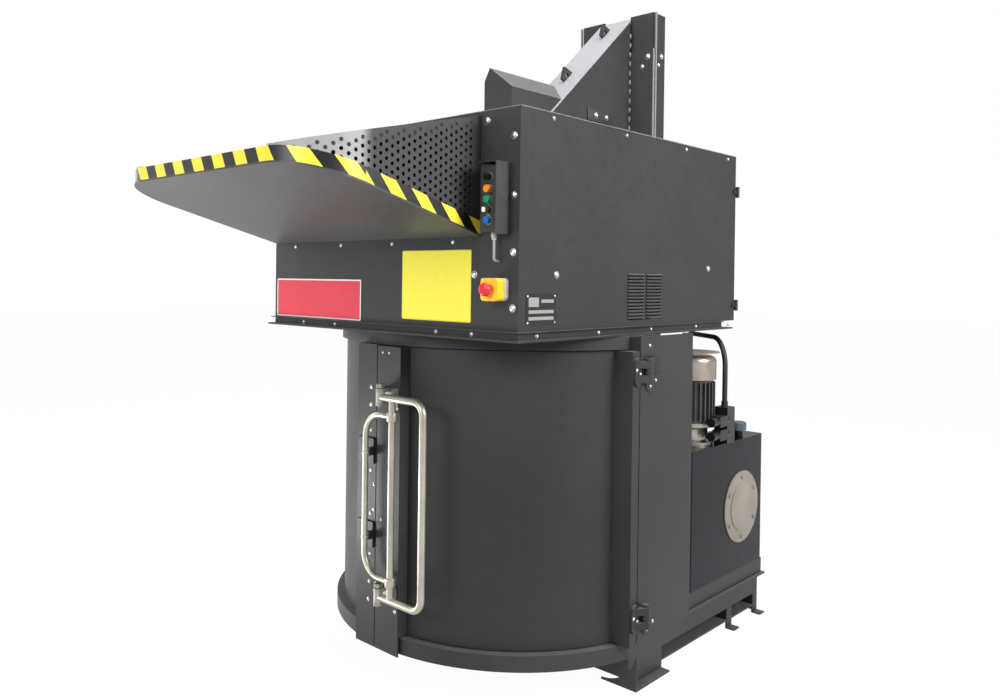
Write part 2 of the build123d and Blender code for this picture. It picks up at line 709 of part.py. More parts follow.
with BuildPart() as chute_guards:
    add(guards)
save(chute_guards, "chute_guards")

# Control box under its own angle cover, with a cable gland below.
control_x = 554.0
control_width = 69.0
control_low = sill + 4
control_high = 1712.0
control_depth = 55.0
button_levels = {"pilot_lamp": 1678.0, "orange_button": 1643.0, "green_button": 1612.0,
                 "key_switch": 1581.0, "blue_button": 1551.0}
button_x = 557.0
button_radius = 11.0
button_face = housing_front - control_depth
with BuildPart() as control_box:
    box_between((control_x - control_width / 2, housing_front - control_depth, control_low),
                (control_x + control_width / 2, housing_front, control_high))
    fillet(control_box.edges().filter_by(Axis.Z), 4)
    for name, level in button_levels.items():
        with Locations((button_x, button_face, level)):
            Cylinder(button_radius - 3 + 0.5, 2 * 26, rotation=(90, 0, 0), mode=Mode.SUBTRACT)
save(control_box, "control_box")

with BuildPart() as control_hood:
    hood_reach = control_depth + 9
    box_between((control_x + control_width / 2 + seat_gap, housing_front - hood_reach, control_low - 6),
                (control_x + control_width / 2 + seat_gap + sheet, housing_front, control_high + 12))
    box_between((control_x - control_width / 2, housing_front - hood_reach, control_high + 12 - sheet),
                (control_x + control_width / 2 + seat_gap + sheet, housing_front, control_high + 12))
save(control_hood, "control_hood")

for name, level in button_levels.items():
    with BuildPart() as button:
        with Locations((button_x, button_face - 9, level)):
            Cylinder(button_radius, 12, rotation=(90, 0, 0))
        with Locations((button_x, button_face + 9, level)):
            Cylinder(button_radius - 3, 24, rotation=(90, 0, 0))
        if name == "key_switch":
            with Locations((button_x, button_face - 22, level)):
                Box(3, 16, 14)
    save(button, name)

with BuildPart() as cable_gland:
    with Locations((control_x, housing_front - control_depth / 2, control_low - 7)):
        Cylinder(9, 14)
    with Locations((control_x, housing_front - control_depth / 2, control_low - 18)):
        Cylinder(7, 8)
save(cable_gland, "cable_gland")

# Control lead: held between the gland and the panel below it.
lead_radius = 4.0
lead_top = control_low - 22
lead_y = housing_front - control_depth / 2
with BuildPart() as control_lead:
    cord_along(((control_x, lead_y, lead_top), (control_x, lead_y, lead_top - 62),
                (control_x, housing_front - seat_gap, lead_top - 62)), lead_radius, "control_lead")
print("control_lead volume", round(control_lead.part.volume))
save(control_lead, "control_lead")

# Emergency stop on its own box, on the front post.
stop_x = 556.0
stop_z = 1347.0
stop_size = 68.0
stop_depth = 50.0
with BuildPart() as stop_box:
    box_between((stop_x - stop_size / 2, housing_front - stop_depth, stop_z - stop_size / 2),
                (stop_x + stop_size / 2, housing_front, stop_z + stop_size / 2))
    fillet(stop_box.edges().filter_by(Axis.Y), 12)
    with Locations((stop_x, housing_front - stop_depth, stop_z)):
        Cylinder(8.5, 2 * 22, rotation=(90, 0, 0), mode=Mode.SUBTRACT)
save(stop_box, "stop_box")

knob_back = housing_front - stop_depth - 9
with BuildPart() as stop_knob:
    with Locations((stop_x, knob_back - 10, stop_z)):
        Cylinder(20, 20, rotation=(90, 0, 0))
    fillet(stop_knob.edges().group_by(Axis.Y)[0], 9)
    chamfer(stop_knob.edges().group_by(Axis.Y)[-1], 4)
    with Locations((stop_x, knob_back + 10, stop_z)):
        Cylinder(8, 21, rotation=(90, 0, 0))
save(stop_knob, "stop_knob")

# Pressure hose's ends: the top of the valve block and a fitting on the mast's side
valve_height = 140.0
port_height = 20.0
hose_start = tank_top + valve_height + port_height
hose_end_y = tank_front + tank_length - 24
hose_end_z = hose_start - 40

# Mast: a lipped channel with a slot down its front, welded to the back of the base.
mast_rear = mast_front + mast_depth
with BuildPart() as mast:
    with BuildSketch(Plane.XY.offset(base_top)):
        with Locations((0, (mast_front + mast_rear) / 2)):
            Rectangle(2 * mast_half, mast_depth)
            Rectangle(2 * (mast_half - mast_flange), mast_depth - 2 * mast_web, mode=Mode.SUBTRACT)
            with Locations((0, -mast_depth / 2)):
                Rectangle(2 * mast_slot_half, 4 * mast_web, mode=Mode.SUBTRACT)
    extrude(amount=mast_top - base_top)
    with Locations((mast_half + 8, hose_end_y, hose_end_z)):
        Cylinder(15, 16, rotation=(0, 90, 0))
save(mast, "mast")

# Carriage: a plate before the mast with cheeks round its sides, and a neck through the slot
# to the pad that runs behind the mast's lips.
slide_inner = mast_half - mast_flange - slide_gap
slide_outer = mast_half + slide_gap
carriage_top = carriage_bottom + carriage_height
guide_thickness = 12.0
guide_rear = mast_front + 0.7 * mast_depth
front_face = mast_front - slide_gap - guide_thickness
pad_front = mast_front + mast_web + slide_gap
pad_thickness = 12.0
with BuildPart() as carriage:
    box_between((-slide_outer - guide_thickness, front_face, carriage_bottom),
                (slide_outer + guide_thickness, front_face + guide_thickness, carriage_top))
    for side in (-1, 1):
        low_x, high_x = sorted((side * slide_outer, side * (slide_outer + guide_thickness)))
        box_between((low_x, front_face, carriage_bottom), (high_x, guide_rear, carriage_top))
    box_between((-mast_slot_half + slide_gap, front_face, carriage_bottom),
                (mast_slot_half - slide_gap, pad_front + pad_thickness, carriage_top))
    box_between((-slide_inner, pad_front, carriage_bottom), (slide_inner, pad_front + pad_thickness, carriage_top))
save(carriage, "carriage")

# Lift cylinder inside the mast: barrel on the base, rod under the carriage.
barrel_radius = 35.0
bore_radius = 28.0
rod_radius = 18.0
barrel_top = carriage_bottom - lift_stroke - 60
cylinder_y = mast_front + mast_depth / 2
with BuildPart() as lift_barrel:
    with BuildSketch(Plane.XY.offset(base_top)):
        with Locations((0, cylinder_y)):
            Circle(barrel_radius)
    extrude(amount=barrel_top - base_top)
    with Locations((0, cylinder_y, (base_top + 20 + barrel_top) / 2)):
        Cylinder(bore_radius, barrel_top - base_top - 20 - 30, mode=Mode.SUBTRACT)
    with Locations((0, cylinder_y, barrel_top)):
        Cylinder(rod_radius + running_gap, 80, mode=Mode.SUBTRACT)
save(lift_barrel, "lift_barrel")

with BuildPart() as lift_rod:
    piston_z = barrel_top - 60
    with Locations((0, cylinder_y, (piston_z + carriage_bottom + carriage_height / 2) / 2)):
        Cylinder(rod_radius, carriage_bottom + carriage_height / 2 - piston_z)
    with Locations((0, cylinder_y, piston_z)):
        Cylinder(bore_radius - running_gap, 30)
    box_between((-40, pad_front + pad_thickness + seat_gap, carriage_bottom + carriage_height / 2 - 40),
                (40, cylinder_y + 20, carriage_bottom + carriage_height / 2))
save(lift_rod, "lift_rod")

# Arm: two triangular side plates, a bottom plate and the rotor's bearing plate, welded into a box.
arm_tip_y = hood_front + arm_wall
arm_top_y = front_face
arm_top_z = housing_top + arm_slope * (arm_top_y - arm_foot_y)
with BuildPart() as arm_box:
    for side in (-1, 1):
        with BuildSketch(Plane.YZ.offset(side * (arm_half - arm_wall / 2) - arm_wall / 2)):
            with BuildLine():
                Polyline((arm_top_y, arm_bottom), (arm_top_y, arm_top_z),
                         (arm_foot_y + (arm_bottom + 90 - housing_top) / arm_slope, arm_bottom + 90),
                         (arm_tip_y, arm_bottom + 90), (arm_tip_y, arm_bottom), (arm_top_y, arm_bottom))
            make_face()
        extrude(amount=arm_wall)
    box_between((-arm_half, arm_tip_y, arm_bottom), (arm_half, arm_top_y, arm_bottom + arm_wall))
    box_between((-arm_half, arm_tip_y, arm_bottom), (arm_half, arm_tip_y + arm_wall, arm_bottom + 90))
    box_between((-arm_half, -bearing_radius - 20, arm_bottom), (arm_half, bearing_radius + 20, arm_bottom + 30))
    with Locations((0, 0, arm_bottom)):
        Cylinder(shaft_radius + running_gap, 200, mode=Mode.SUBTRACT)
save(arm_box, "arm_box")

# Arm cover: the sloping plate on the arm's top edge.
cover_thickness = 8.0
cover_drop = cover_thickness * sqrt(1 + arm_slope ** 2)
with BuildPart() as arm_cover:
    with BuildSketch(Plane.YZ.offset(-arm_half)):
        cover_low_y = arm_foot_y + (arm_bottom + 90 - housing_top) / arm_slope
        with BuildLine():
            Polyline((cover_low_y, arm_bottom + 90 + seat_gap), (arm_top_y, arm_top_z + seat_gap),
                     (arm_top_y, arm_top_z + cover_drop + seat_gap),
                     (cover_low_y, arm_bottom + 90 + cover_drop + seat_gap),
                     (cover_low_y, arm_bottom + 90 + seat_gap))
        make_face()
    extrude(amount=2 * arm_half)
save(arm_cover, "arm_cover")

# Lifting lugs: two diamond plates with eyes, welded along the cover.
lug_size = 58.0
lug_thickness = 12.0
lug_places = (330.0, 610.0)
lug_reach = 4 * lug_size
with BuildPart() as lifting_lugs:
    for y in lug_places:
        z = housing_top + arm_slope * (y - arm_foot_y) + cover_drop + seat_gap
        with BuildSketch(Plane.YZ.offset(-lug_thickness / 2)):
            with Locations((y, z + 12)):
                Rectangle(lug_size, lug_size, rotation=degrees(atan(arm_slope)) + 32)
                Circle(11, mode=Mode.SUBTRACT)
        extrude(amount=lug_thickness)
        # the lug ends on the plate's face
        with BuildSketch(Plane.YZ.offset(-lug_thickness)):
            with BuildLine():
                Polyline((y - lug_reach, z - lug_reach * arm_slope), (y + lug_reach, z + lug_reach * arm_slope),
                         (y + lug_reach, z - 2 * lug_reach), (y - lug_reach, z - 2 * lug_reach),
                         (y - lug_reach, z - lug_reach * arm_slope))
            make_face()
        extrude(amount=2 * lug_thickness, mode=Mode.SUBTRACT)
save(lifting_lugs, "lifting_lugs")

# Motor hood: a folded cover over the rotor's motor, with a roof that falls to the near side.
hood_low = arm_bottom + 90 + seat_gap
hood_rear = cover_low_y + (hood_ridge - hood_low) / arm_slope
with BuildPart() as motor_hood:
    with BuildSketch(Plane.XZ.offset(-hood_front)):
        with BuildLine():
            Polyline((arm_half, hood_low), (arm_half, hood_eave), (hood_ridge_x, hood_ridge),
                     (hood_left, hood_far_eave), (hood_left, hood_low), (arm_half, hood_low))
        make_face()
    extrude(amount=hood_front - hood_rear)
    with BuildSketch(Plane.XZ.offset(-hood_front)):
        with BuildLine():
            Polyline((arm_half - sheet, hood_low - 1), (arm_half - sheet, hood_eave - sheet),
                     (hood_ridge_x, hood_ridge - 1.5 * sheet), (hood_left + sheet, hood_far_eave - sheet),
                     (hood_left + sheet, hood_low - 1), (arm_half - sheet, hood_low - 1))
        make_face()
    extrude(amount=hood_front - hood_rear, mode=Mode.SUBTRACT)
    # front sheet and the sloping end that meets the cover
    with BuildSketch(Plane.XZ.offset(-hood_front)):
        with BuildLine():
            Polyline((arm_half, hood_low), (arm_half, hood_eave), (hood_ridge_x, hood_ridge),
                     (hood_left, hood_far_eave), (hood_left, hood_low), (arm_half, hood_low))
        make_face()
    extrude(amount=-sheet)
    with BuildSketch(Plane.YZ.offset(-2 * arm_half)):
        with BuildLine():
            lift = cover_drop + 2 * seat_gap
            Polyline((cover_low_y - 1, arm_bottom - 200), (cover_low_y - 1, hood_low + lift),
                     (cover_low_y - 1 + 400, hood_low + lift + 400 * arm_slope),
                     (cover_low_y + 800, hood_low + lift), (cover_low_y + 800, arm_bottom - 200),
                     (cover_low_y - 1, arm_bottom - 200))
        make_face()
    extrude(amount=4 * arm_half, mode=Mode.SUBTRACT)
save(motor_hood, "motor_hood")

# Rotor drive: the hydraulic motor above the bearing plate and the bearing below it.
with BuildPart() as rotor_motor:
    motor_seat = arm_bottom + 30
    with BuildSketch(Plane.XY.offset(motor_seat)):
        RectangleRounded(106, 106, 10)
    extrude(amount=20)
    with Locations((0, 0, motor_seat + 20 + 45)):
        Cylinder(50, 90)
    with Locations((0, 0, motor_seat)):
        Cylinder(shaft_radius + 2, 20, mode=Mode.SUBTRACT)
    with Locations((0, -40, motor_seat + 80)):
        Cylinder(12, 60, rotation=(90, 0, 0))
save(rotor_motor, "rotor_motor")

with BuildPart() as rotor_bearing:
    with Locations((0, 0, arm_bottom - 30)):
        Cylinder(bearing_radius, 60)
        Cylinder(shaft_radius + running_gap, 80, mode=Mode.SUBTRACT)
    with Locations((0, 0, arm_bottom - 6)):
        Cylinder(bearing_radius + 18 - 14, 12)
        Cylinder(shaft_radius + running_gap, 80, mode=Mode.SUBTRACT)
save(rotor_bearing, "rotor_bearing")

# Rotor: the shaft with its hub, and the bracket that carries the roller's axle at both ends.
cone_angle = degrees(asin(roller_ratio))
axis_dir = Vector(cos(radians(cone_angle)), 0, sin(radians(cone_angle)))
axis_up = Vector(-sin(radians(cone_angle)), 0, cos(radians(cone_angle)))
small_end = roller_start * cos(radians(cone_angle))
large_end = roller_reach * cos(radians(cone_angle))
small_radius = roller_start * roller_ratio
large_radius = roller_reach * roller_ratio
ear = 16.0
roller_plane = Plane(origin=(0, 0, roller_apex), x_dir=axis_dir, z_dir=(0, -1, 0))
bracket_clear = large_radius + roller_tooth + 14
with BuildPart() as rotor_shaft:
    with BuildSketch(Plane.XZ):
        with BuildLine():
            top = motor_seat + 8
            hub_low = roller_apex + 62
            Polyline((0, hub_low), (shaft_radius + 14, hub_low), (shaft_radius + 14, hub_low + 80),
                     (shaft_radius, hub_low + 110), (shaft_radius, top), (0, top), (0, hub_low))
        make_face()
    revolve(axis=Axis.Z)
    # bracket: a bar above the roller with an ear at each end
    with BuildSketch(roller_plane.offset(-24)):
        with BuildLine():
            Polyline((small_end - ear - 4, -30), (small_end - 4, -30), (small_end - 4, bracket_clear),
                     (large_end + 4, bracket_clear), (large_end + 4, -30), (large_end + 4 + ear, -30),
                     (large_end + 4 + ear, bracket_clear + 26), (small_end - ear - 60, bracket_clear + 26),
                     (small_end - ear - 60, bracket_clear - 60), (small_end - ear - 4, 30),
                     (small_end - ear - 4, -30))
        make_face()
    extrude(amount=48)
    with BuildSketch(Plane(origin=Vector(0, 0, roller_apex) + axis_dir * (small_end - 60), z_dir=axis_dir)):
        Circle(axle_radius)
    extrude(amount=large_end - small_end + 160, mode=Mode.SUBTRACT)
save(rotor_shaft, "rotor_shaft")

with BuildPart() as roller_axle:
    with BuildSketch(Plane(origin=Vector(0, 0, roller_apex) + axis_dir * (small_end - ear - 4), z_dir=axis_dir)):
        Circle(axle_radius)
    extrude(amount=large_end - small_end + 2 * ear + 8)
save(roller_axle, "roller_axle")

# Roller: a steel cone with rows of teeth, turning on the axle as it runs round.
tooth_steps = 5
tooth_pitch = (large_end - small_end - 12) / tooth_steps
cone_rise = (large_radius - small_radius) / (large_end - small_end)
with BuildPart() as roller:
    with BuildSketch(roller_plane):
        with BuildLine():
            Polyline((small_end, axle_radius + running_gap), (small_end, small_radius - 4),
                     (large_end, large_radius - 4), (large_end, axle_radius + running_gap),
                     (small_end, axle_radius + running_gap))
        make_face()
    revolve(axis=Axis((0, 0, roller_apex), axis_dir))
    for row in range(tooth_rows):
        angle = 360 / tooth_rows * row
        with BuildSketch(roller_plane.offset(-5), mode=Mode.PRIVATE) as blade:
            with BuildLine():
                points = [(small_end + 6, small_radius - 9)]
                for step in range(tooth_steps):
                    start = small_end + 6 + tooth_pitch * step
                    end = start + 0.72 * tooth_pitch
                    start_lift = small_radius + cone_rise * (start - small_end)
                    end_lift = small_radius + cone_rise * (end - small_end)
                    points.append((start, start_lift - 2))
                    points.append((start + 8, start_lift + roller_tooth))
                    points.append((end - 8, end_lift + roller_tooth))
                    points.append((end, end_lift - 2))
                points.append((large_end - 6, large_radius - 9))
                points.append((small_end + 6, small_radius - 9))
                Polyline(*points)
            make_face()
        bar = extrude(blade.sketch, amount=10, mode=Mode.PRIVATE)
        add(bar.rotate(Axis((0, 0, roller_apex), axis_dir), angle))
save(roller, "roller")

# Power unit tray: a channel on the base that carries the tank.
tank_rear = tank_front + tank_length
with BuildPart() as tank_tray:
    box_between((tank_left - 4, tank_front, base_top), (tank_right, tank_rear, tray_top))
    box_between((tank_left - 4 + plate, tank_front - 1, base_top + plate),
                (tank_right - plate, tank_rear + 1, tray_top - plate), mode=Mode.SUBTRACT)
save(tank_tray, "tank_tray")

# Oil tank with its bolted inspection cover
cover_y = tank_rear - cover_radius - 48
cover_z = tray_top + tank_height * 0.48
valve_x = tank_right - 18
valve_y = tank_front + 290
cap_x = tank_right - 38
cap_y = tank_front + 445
cap_radius = 34.0
with BuildPart() as oil_tank:
    box_between((tank_left, tank_front, tray_top), (tank_right, tank_rear, tank_top))
    fillet(oil_tank.edges().filter_by(Axis.Z), 14)
    box_between((tank_left + plate, tank_front + plate, tray_top + plate),
                (tank_right - plate, tank_rear - plate, tank_top - plate), mode=Mode.SUBTRACT)
    with Locations((cap_x, cap_y, tank_top + 14)):
        Cylinder(20, 28)
    with Locations((cap_x, cap_y, tank_top)):
        Cylinder(12 + running_gap, 80, mode=Mode.SUBTRACT)
save(oil_tank, "oil_tank")

with BuildPart() as tank_cover:
    with BuildSketch(Plane.YZ.offset(tank_right)):
        with Locations((cover_y, cover_z)):
            Circle(cover_radius)
    extrude(amount=4)
    with BuildSketch(Plane.YZ.offset(tank_right + 4)):
        with Locations((cover_y, cover_z)):
            Circle(cover_radius * 0.66)
    extrude(amount=3)
    for index in range(6):
        turn = radians(60 * index + 30)
        y = cover_y + cover_radius * 0.84 * cos(turn)
        z = cover_z + cover_radius * 0.84 * sin(turn)
        with BuildSketch(Plane.YZ.offset(tank_right + 4)):
            with Locations((y, z)):
                RegularPolygon(9, 6)
        extrude(amount=5)
save(tank_cover, "tank_cover")

# Pump bell and motor, standing on the tank: bell housing, finned motor, fan cowl with a rain disc.
bell_height = 86.0
fin_height = 165.0
cowl_height = 91.0
bell_base = tank_top
fin_base = bell_base + bell_height
cowl_base = fin_base + fin_height
motor_top = cowl_base + cowl_height
with BuildPart() as pump_bell:
    with BuildSketch(Plane.XZ):
        with BuildLine():
            Polyline((0, bell_base), (motor_radius - 8, bell_base), (motor_radius - 8, bell_base + 12),
                     (motor_radius - 28, bell_base + 20), (motor_radius - 28, bell_base + 60),
                     (motor_radius, bell_base + 72), (motor_radius, fin_base), (0, fin_base), (0, bell_base))
        make_face()
    revolve(axis=Axis.Z)
    pump_bell.part = pump_bell.part.moved(Location((motor_x, motor_y, 0)))
save(pump_bell, "pump_bell")

fins = 28
with BuildPart() as motor_body:
    with Locations((motor_x, motor_y, fin_base + fin_height / 2)):
        Cylinder(motor_radius - 12, fin_height)
    for index in range(fins):
        turn = 360 / fins * index
        with BuildSketch(Plane.XY.offset(fin_base + 10)):
            with Locations(Location((motor_x + (motor_radius - 9) * cos(radians(turn)),
                                     motor_y + (motor_radius - 9) * sin(radians(turn))), turn)):
                Rectangle(16, 4)
        extrude(amount=fin_height - 20)
    box_between((motor_x - motor_radius - 34, motor_y - 50, fin_base + 40),
                (motor_x - motor_radius + 20, motor_y + 50, fin_base + 130))
save(motor_body, "motor_body")

with BuildPart() as fan_cowl:
    with Locations((motor_x, motor_y, cowl_base + cowl_height / 2)):
        Cylinder(motor_radius + 2, cowl_height)
    fillet(fan_cowl.edges().group_by(Axis.Z)[-1], 22)
    with Locations((motor_x, motor_y, cowl_base + cowl_height / 2 - 3)):
        Cylinder(motor_radius - 22, cowl_height - 6, mode=Mode.SUBTRACT)
    # rain disc on its stem
    with Locations((motor_x, motor_y, motor_top + 6)):
        Cylinder(8, 13)
    with Locations((motor_x, motor_y, motor_top + 13)):
        Cylinder(motor_radius + 14, 3)
save(fan_cowl, "fan_cowl")

# Valve block on the tank with two solenoids towards the front and a return elbow behind.
solenoid_radius = 17.0
solenoid_length = 122.0
solenoid_x = motor_x + motor_radius + solenoid_radius + 4
with BuildPart() as valve_block:
    box_between((valve_x - 28, valve_y - 30, tank_top), (valve_x + 28, valve_y + 30, tank_top + valve_height))
    for z in (tank_top + 42, tank_top + 94):
        with Locations((solenoid_x, valve_y - 30 - solenoid_length / 2, z)):
            Cylinder(solenoid_radius, solenoid_length, rotation=(90, 0, 0))
        with Locations((solenoid_x, valve_y - 30 - solenoid_length * 0.4, z)):
            Box(2 * solenoid_radius, solenoid_length * 0.5, 2 * solenoid_radius + 6)
    with Locations((valve_x, valve_y, tank_top + valve_height + port_height / 2)):
        Cylinder(13, port_height)
save(valve_block, "valve_block")

with BuildPart() as filler_cap:
    with Locations((cap_x, cap_y, tank_top + 28 + seat_gap + 16)):
        Cylinder(cap_radius, 32)
    fillet(filler_cap.edges().group_by(Axis.Z)[-1], 5)
    with Locations((cap_x, cap_y, tank_top + 14 + 3)):
        Cylinder(12, 24 + 2)
save(filler_cap, "filler_cap")

with BuildPart() as steel_pipe:
    tube_along(((valve_x, valve_y + 30, tank_top + 50), (valve_x, valve_y + 68, tank_top + 50),
                (valve_x, valve_y + 68, tank_top)), 22, 9)
save(steel_pipe, "steel_pipe")

# Pressure hose from the valve block to the fitting on the mast's side.
hose_radius = 10.0
hose_peak = housing_bottom - 36
hose_end_x = mast_half + 16
with BuildPart() as pressure_hose:
    cord_along(((valve_x, valve_y, hose_start), (valve_x, valve_y, hose_peak),
                (hose_end_x + 110, hose_end_y, hose_peak), (hose_end_x + 110, hose_end_y, hose_end_z),
                (hose_end_x, hose_end_y, hose_end_z)), hose_radius, "pressure_hose")
print("pressure_hose volume", round(pressure_hose.part.volume))
save(pressure_hose, "pressure_hose")
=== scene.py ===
import math

import bpy
from mathutils import Matrix, Vector


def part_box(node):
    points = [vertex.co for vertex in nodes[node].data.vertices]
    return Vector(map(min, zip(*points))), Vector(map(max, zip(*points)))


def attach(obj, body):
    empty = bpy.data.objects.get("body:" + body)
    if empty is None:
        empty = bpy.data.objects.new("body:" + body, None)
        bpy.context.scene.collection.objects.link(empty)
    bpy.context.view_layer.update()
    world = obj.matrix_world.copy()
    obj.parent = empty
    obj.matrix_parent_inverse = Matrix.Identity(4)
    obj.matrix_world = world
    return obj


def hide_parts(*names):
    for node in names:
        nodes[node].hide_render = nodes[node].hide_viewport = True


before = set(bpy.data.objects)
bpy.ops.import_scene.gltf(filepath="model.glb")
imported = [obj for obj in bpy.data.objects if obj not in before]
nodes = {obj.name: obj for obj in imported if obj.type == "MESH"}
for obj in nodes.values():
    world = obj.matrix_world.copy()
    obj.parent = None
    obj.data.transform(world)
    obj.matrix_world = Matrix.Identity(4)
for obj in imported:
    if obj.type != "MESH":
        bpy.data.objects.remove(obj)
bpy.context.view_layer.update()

# Camera and studio: a long pale floor under soft lamps, seen from the machine's front right.
# One big lamp stands over the machine, one at its right and one low in front, so that the
# sloping sheets are bright and the upright ones stay dark.
view_yaw = math.radians(43.447)
view_pitch = math.radians(-0.4)
view_roll = math.radians(0.724)
forward = Vector((-math.sin(view_yaw) * math.cos(view_pitch),
                  math.cos(view_yaw) * math.cos(view_pitch), math.sin(view_pitch)))
level = Vector((math.cos(view_yaw), math.sin(view_yaw), 0))
upward = level.cross(forward)
right = level * math.cos(view_roll) + upward * math.sin(view_roll)
upward = upward * math.cos(view_roll) - level * math.sin(view_roll)
camera_place = Vector((2.2439, -2.6059, 1.3775))
bpy.ops.object.camera_add()
camera = bpy.context.object
camera.matrix_world = Matrix((
    (right.x, upward.x, -forward.x, camera_place.x),
    (right.y, upward.y, -forward.y, camera_place.y),
    (right.z, upward.z, -forward.z, camera_place.z),
    (0, 0, 0, 1)))
camera.data.lens = 30.60
camera.data.sensor_width = 36
camera.data.sensor_fit = "HORIZONTAL"
camera.data.shift_x = 0.0265
camera.data.shift_y = -0.0651
camera.data.clip_end = 200
bpy.context.scene.camera = camera
bpy.context.scene.view_settings.view_transform = "Standard"

for place, aim, size, power, cone in (
        ((0.6, -0.4, 5.6), (0, 0, 1.2), 3.6, 240, 180),
        ((5.2, 0.6, 3.6), (0, 0, 2.1), 3.0, 92, 80),
        ((0.4, -5.4, 3.4), (0.3, 0, 2.3), 3.0, 33, 60),
        ((-4.5, -1.0, 2.4), (0, 0, 1.2), 2.6, 74, 180),
        ((-1.4, -1.6, 0.15), (-0.6, -1.15, 1.65), 0.9, 34, 180)):
    bpy.ops.object.light_add(type="AREA", location=place)
    lamp = bpy.context.object
    lamp.data.shape = "DISK"
    lamp.data.size = size
    lamp.data.energy = power
    lamp.data.spread = math.radians(cone)
    lamp.rotation_euler = (Vector(aim) - Vector(place)).to_track_quat("-Z", "Y").to_euler()


class Value:
    """A socket of a material. Sums and products of sockets add their Math nodes."""

    def __init__(self, tree, socket=None):
        self.tree = tree
        self.socket = socket

    def node(self, kind, settings=None, inputs=None, output=0):
        made = self.tree.nodes.new("ShaderNode" + kind)
        for name, setting in (settings or {}).items():
            if name == "stops":
                ramp = made.color_ramp
                while len(ramp.elements) < len(setting):
                    ramp.elements.new(0.5)
                for element, (position, colour) in zip(ramp.elements, setting):
                    element.position = position
                    element.color = colour
            else:
                setattr(made, name, setting)
        for name, value in (inputs or {}).items():
            if isinstance(value, Value):
                self.tree.links.new(value.socket, made.inputs[name])
            else:
                made.inputs[name].default_value = value
        return Value(self.tree, made.outputs[output])

    def maths(self, operation, *values):
        return self.node("Math", {"operation": operation}, dict(enumerate(values)))

    def __add__(self, other):
        return self.maths("ADD", self, other)

    def __radd__(self, other):
        return self.maths("ADD", other, self)

    def __sub__(self, other):
        return self.maths("SUBTRACT", self, other)

    def __rsub__(self, other):
        return self.maths("SUBTRACT", other, self)

    def __mul__(self, other):
        return self.maths("MULTIPLY", self, other)

    def __rmul__(self, other):
        return self.maths("MULTIPLY", other, self)

    def __truediv__(self, other):
        return self.maths("DIVIDE", self, other)

    def __gt__(self, other):
        return self.maths("GREATER_THAN", self, other)

    def __lt__(self, other):
        return self.maths("LESS_THAN", self, other)

    def fraction(self):
        return self.maths("FRACT", self)

    def larger(self, other):
        return self.maths("MAXIMUM", self, other)

    def smooth(self, low, high):
        return self.node("MapRange", {"interpolation_type": "SMOOTHSTEP"},
                         {"Value": self, "From Min": low, "From Max": high})

    def axis(self, name):
        return self.node("SeparateXYZ", {}, {0: self}, name)

    def noise(self, scale, detail=2.0, stretch=(1, 1, 1)):
        place = self.node("Mapping", {}, {"Vector": self, "Scale": stretch})
        return self.node("TexNoise", {}, {"Vector": place, "Scale": scale, "Detail": detail})

    def colour(self, low, high):
        """A colour from low to high as this value goes from 0 to 1."""
        return self.node("Mix", {"data_type": "RGBA"}, {0: self, 6: low, 7: high}, 2)

    def between(self, low, high):
        return (self > low) * (self < high)

    def clamped(self, low, high):
        return self.node("Clamp", {}, {"Value": self, "Min": low, "Max": high})

    def bump(self, strength, distance):
        return self.node("Bump", {}, {"Height": self, "Strength": strength, "Distance": distance})

    def into(self, shader, name):
        self.tree.links.new(self.socket, shader.inputs[name])


def start_material(name, **constants):
    """A new material with its shader's constants set, and the place on the piece."""
    made = bpy.data.materials.new(name)
    made.use_nodes = True
    shader = made.node_tree.nodes["Principled BSDF"]
    for key, value in constants.items():
        shader.inputs[key.replace("_", " ")].default_value = value
    return made, shader, Value(made.node_tree).node("TexCoord", output="Object")


def shade_of(red, green, blue):
    """A linear colour from the 0 to 255 values that it has on a screen."""
    return tuple(((part / 255 + 0.055) / 1.055) ** 2.4 if part > 10 else part / 3295
                 for part in (red, green, blue)) + (1.0,)


def dress(material, *names):
    """Gives CAD nodes their finish."""
    for name in names:
        mesh = nodes[name].data
        mesh.materials.clear()
        mesh.materials.append(material)


# Floor and backdrop: a matt floor laid as one wide sheet, nearly white to the camera and
# in reflections, with a pale surround that lights the machine evenly from all sides.
bpy.ops.mesh.primitive_plane_add(size=60, location=(0, 0, -0.0005))
floor = bpy.context.object
floor.name = "floor"
floor_finish = bpy.data.materials.new("pale_floor")
floor_finish.use_nodes = True
tree = floor_finish.node_tree
tree.nodes.clear()
start = Value(tree)
paths = start.node("LightPath", output="Is Camera Ray")
glossy = start.node("LightPath", output="Is Glossy Ray")
matt = start.node("BsdfDiffuse", {}, {"Color": (0.5, 0.5, 0.5, 1)})
glow = start.node("Emission", {}, {"Color": (1, 1, 1, 1), "Strength": 1.08})
seen = paths.larger(glossy)
floor_mix = start.node("MixShader", {}, {0: seen * 0.9, 1: matt, 2: glow})
end = tree.nodes.new("ShaderNodeOutputMaterial")
tree.links.new(floor_mix.socket, end.inputs["Surface"])
floor.data.materials.append(floor_finish)

world = bpy.data.worlds.new("studio")
bpy.context.scene.world = world
world.use_nodes = True
tree = world.node_tree
tree.nodes.clear()
start = Value(tree)
camera_ray = start.node("LightPath", output="Is Camera Ray")
glossy_ray = start.node("LightPath", output="Is Glossy Ray")
backdrop = start.node("Background", {}, {"Color": (1, 1, 1, 1), "Strength": 1.0})
surround = start.node("Background", {}, {"Color": (0.78, 0.8, 0.82, 1), "Strength": 0.38})
half_gloss = glossy_ray * 0.25
world_mix = start.node("MixShader", {}, {0: camera_ray.larger(half_gloss),
                                         1: surround, 2: backdrop})
end = tree.nodes.new("ShaderNodeOutputWorld")
tree.links.new(world_mix.socket, end.inputs["Surface"])


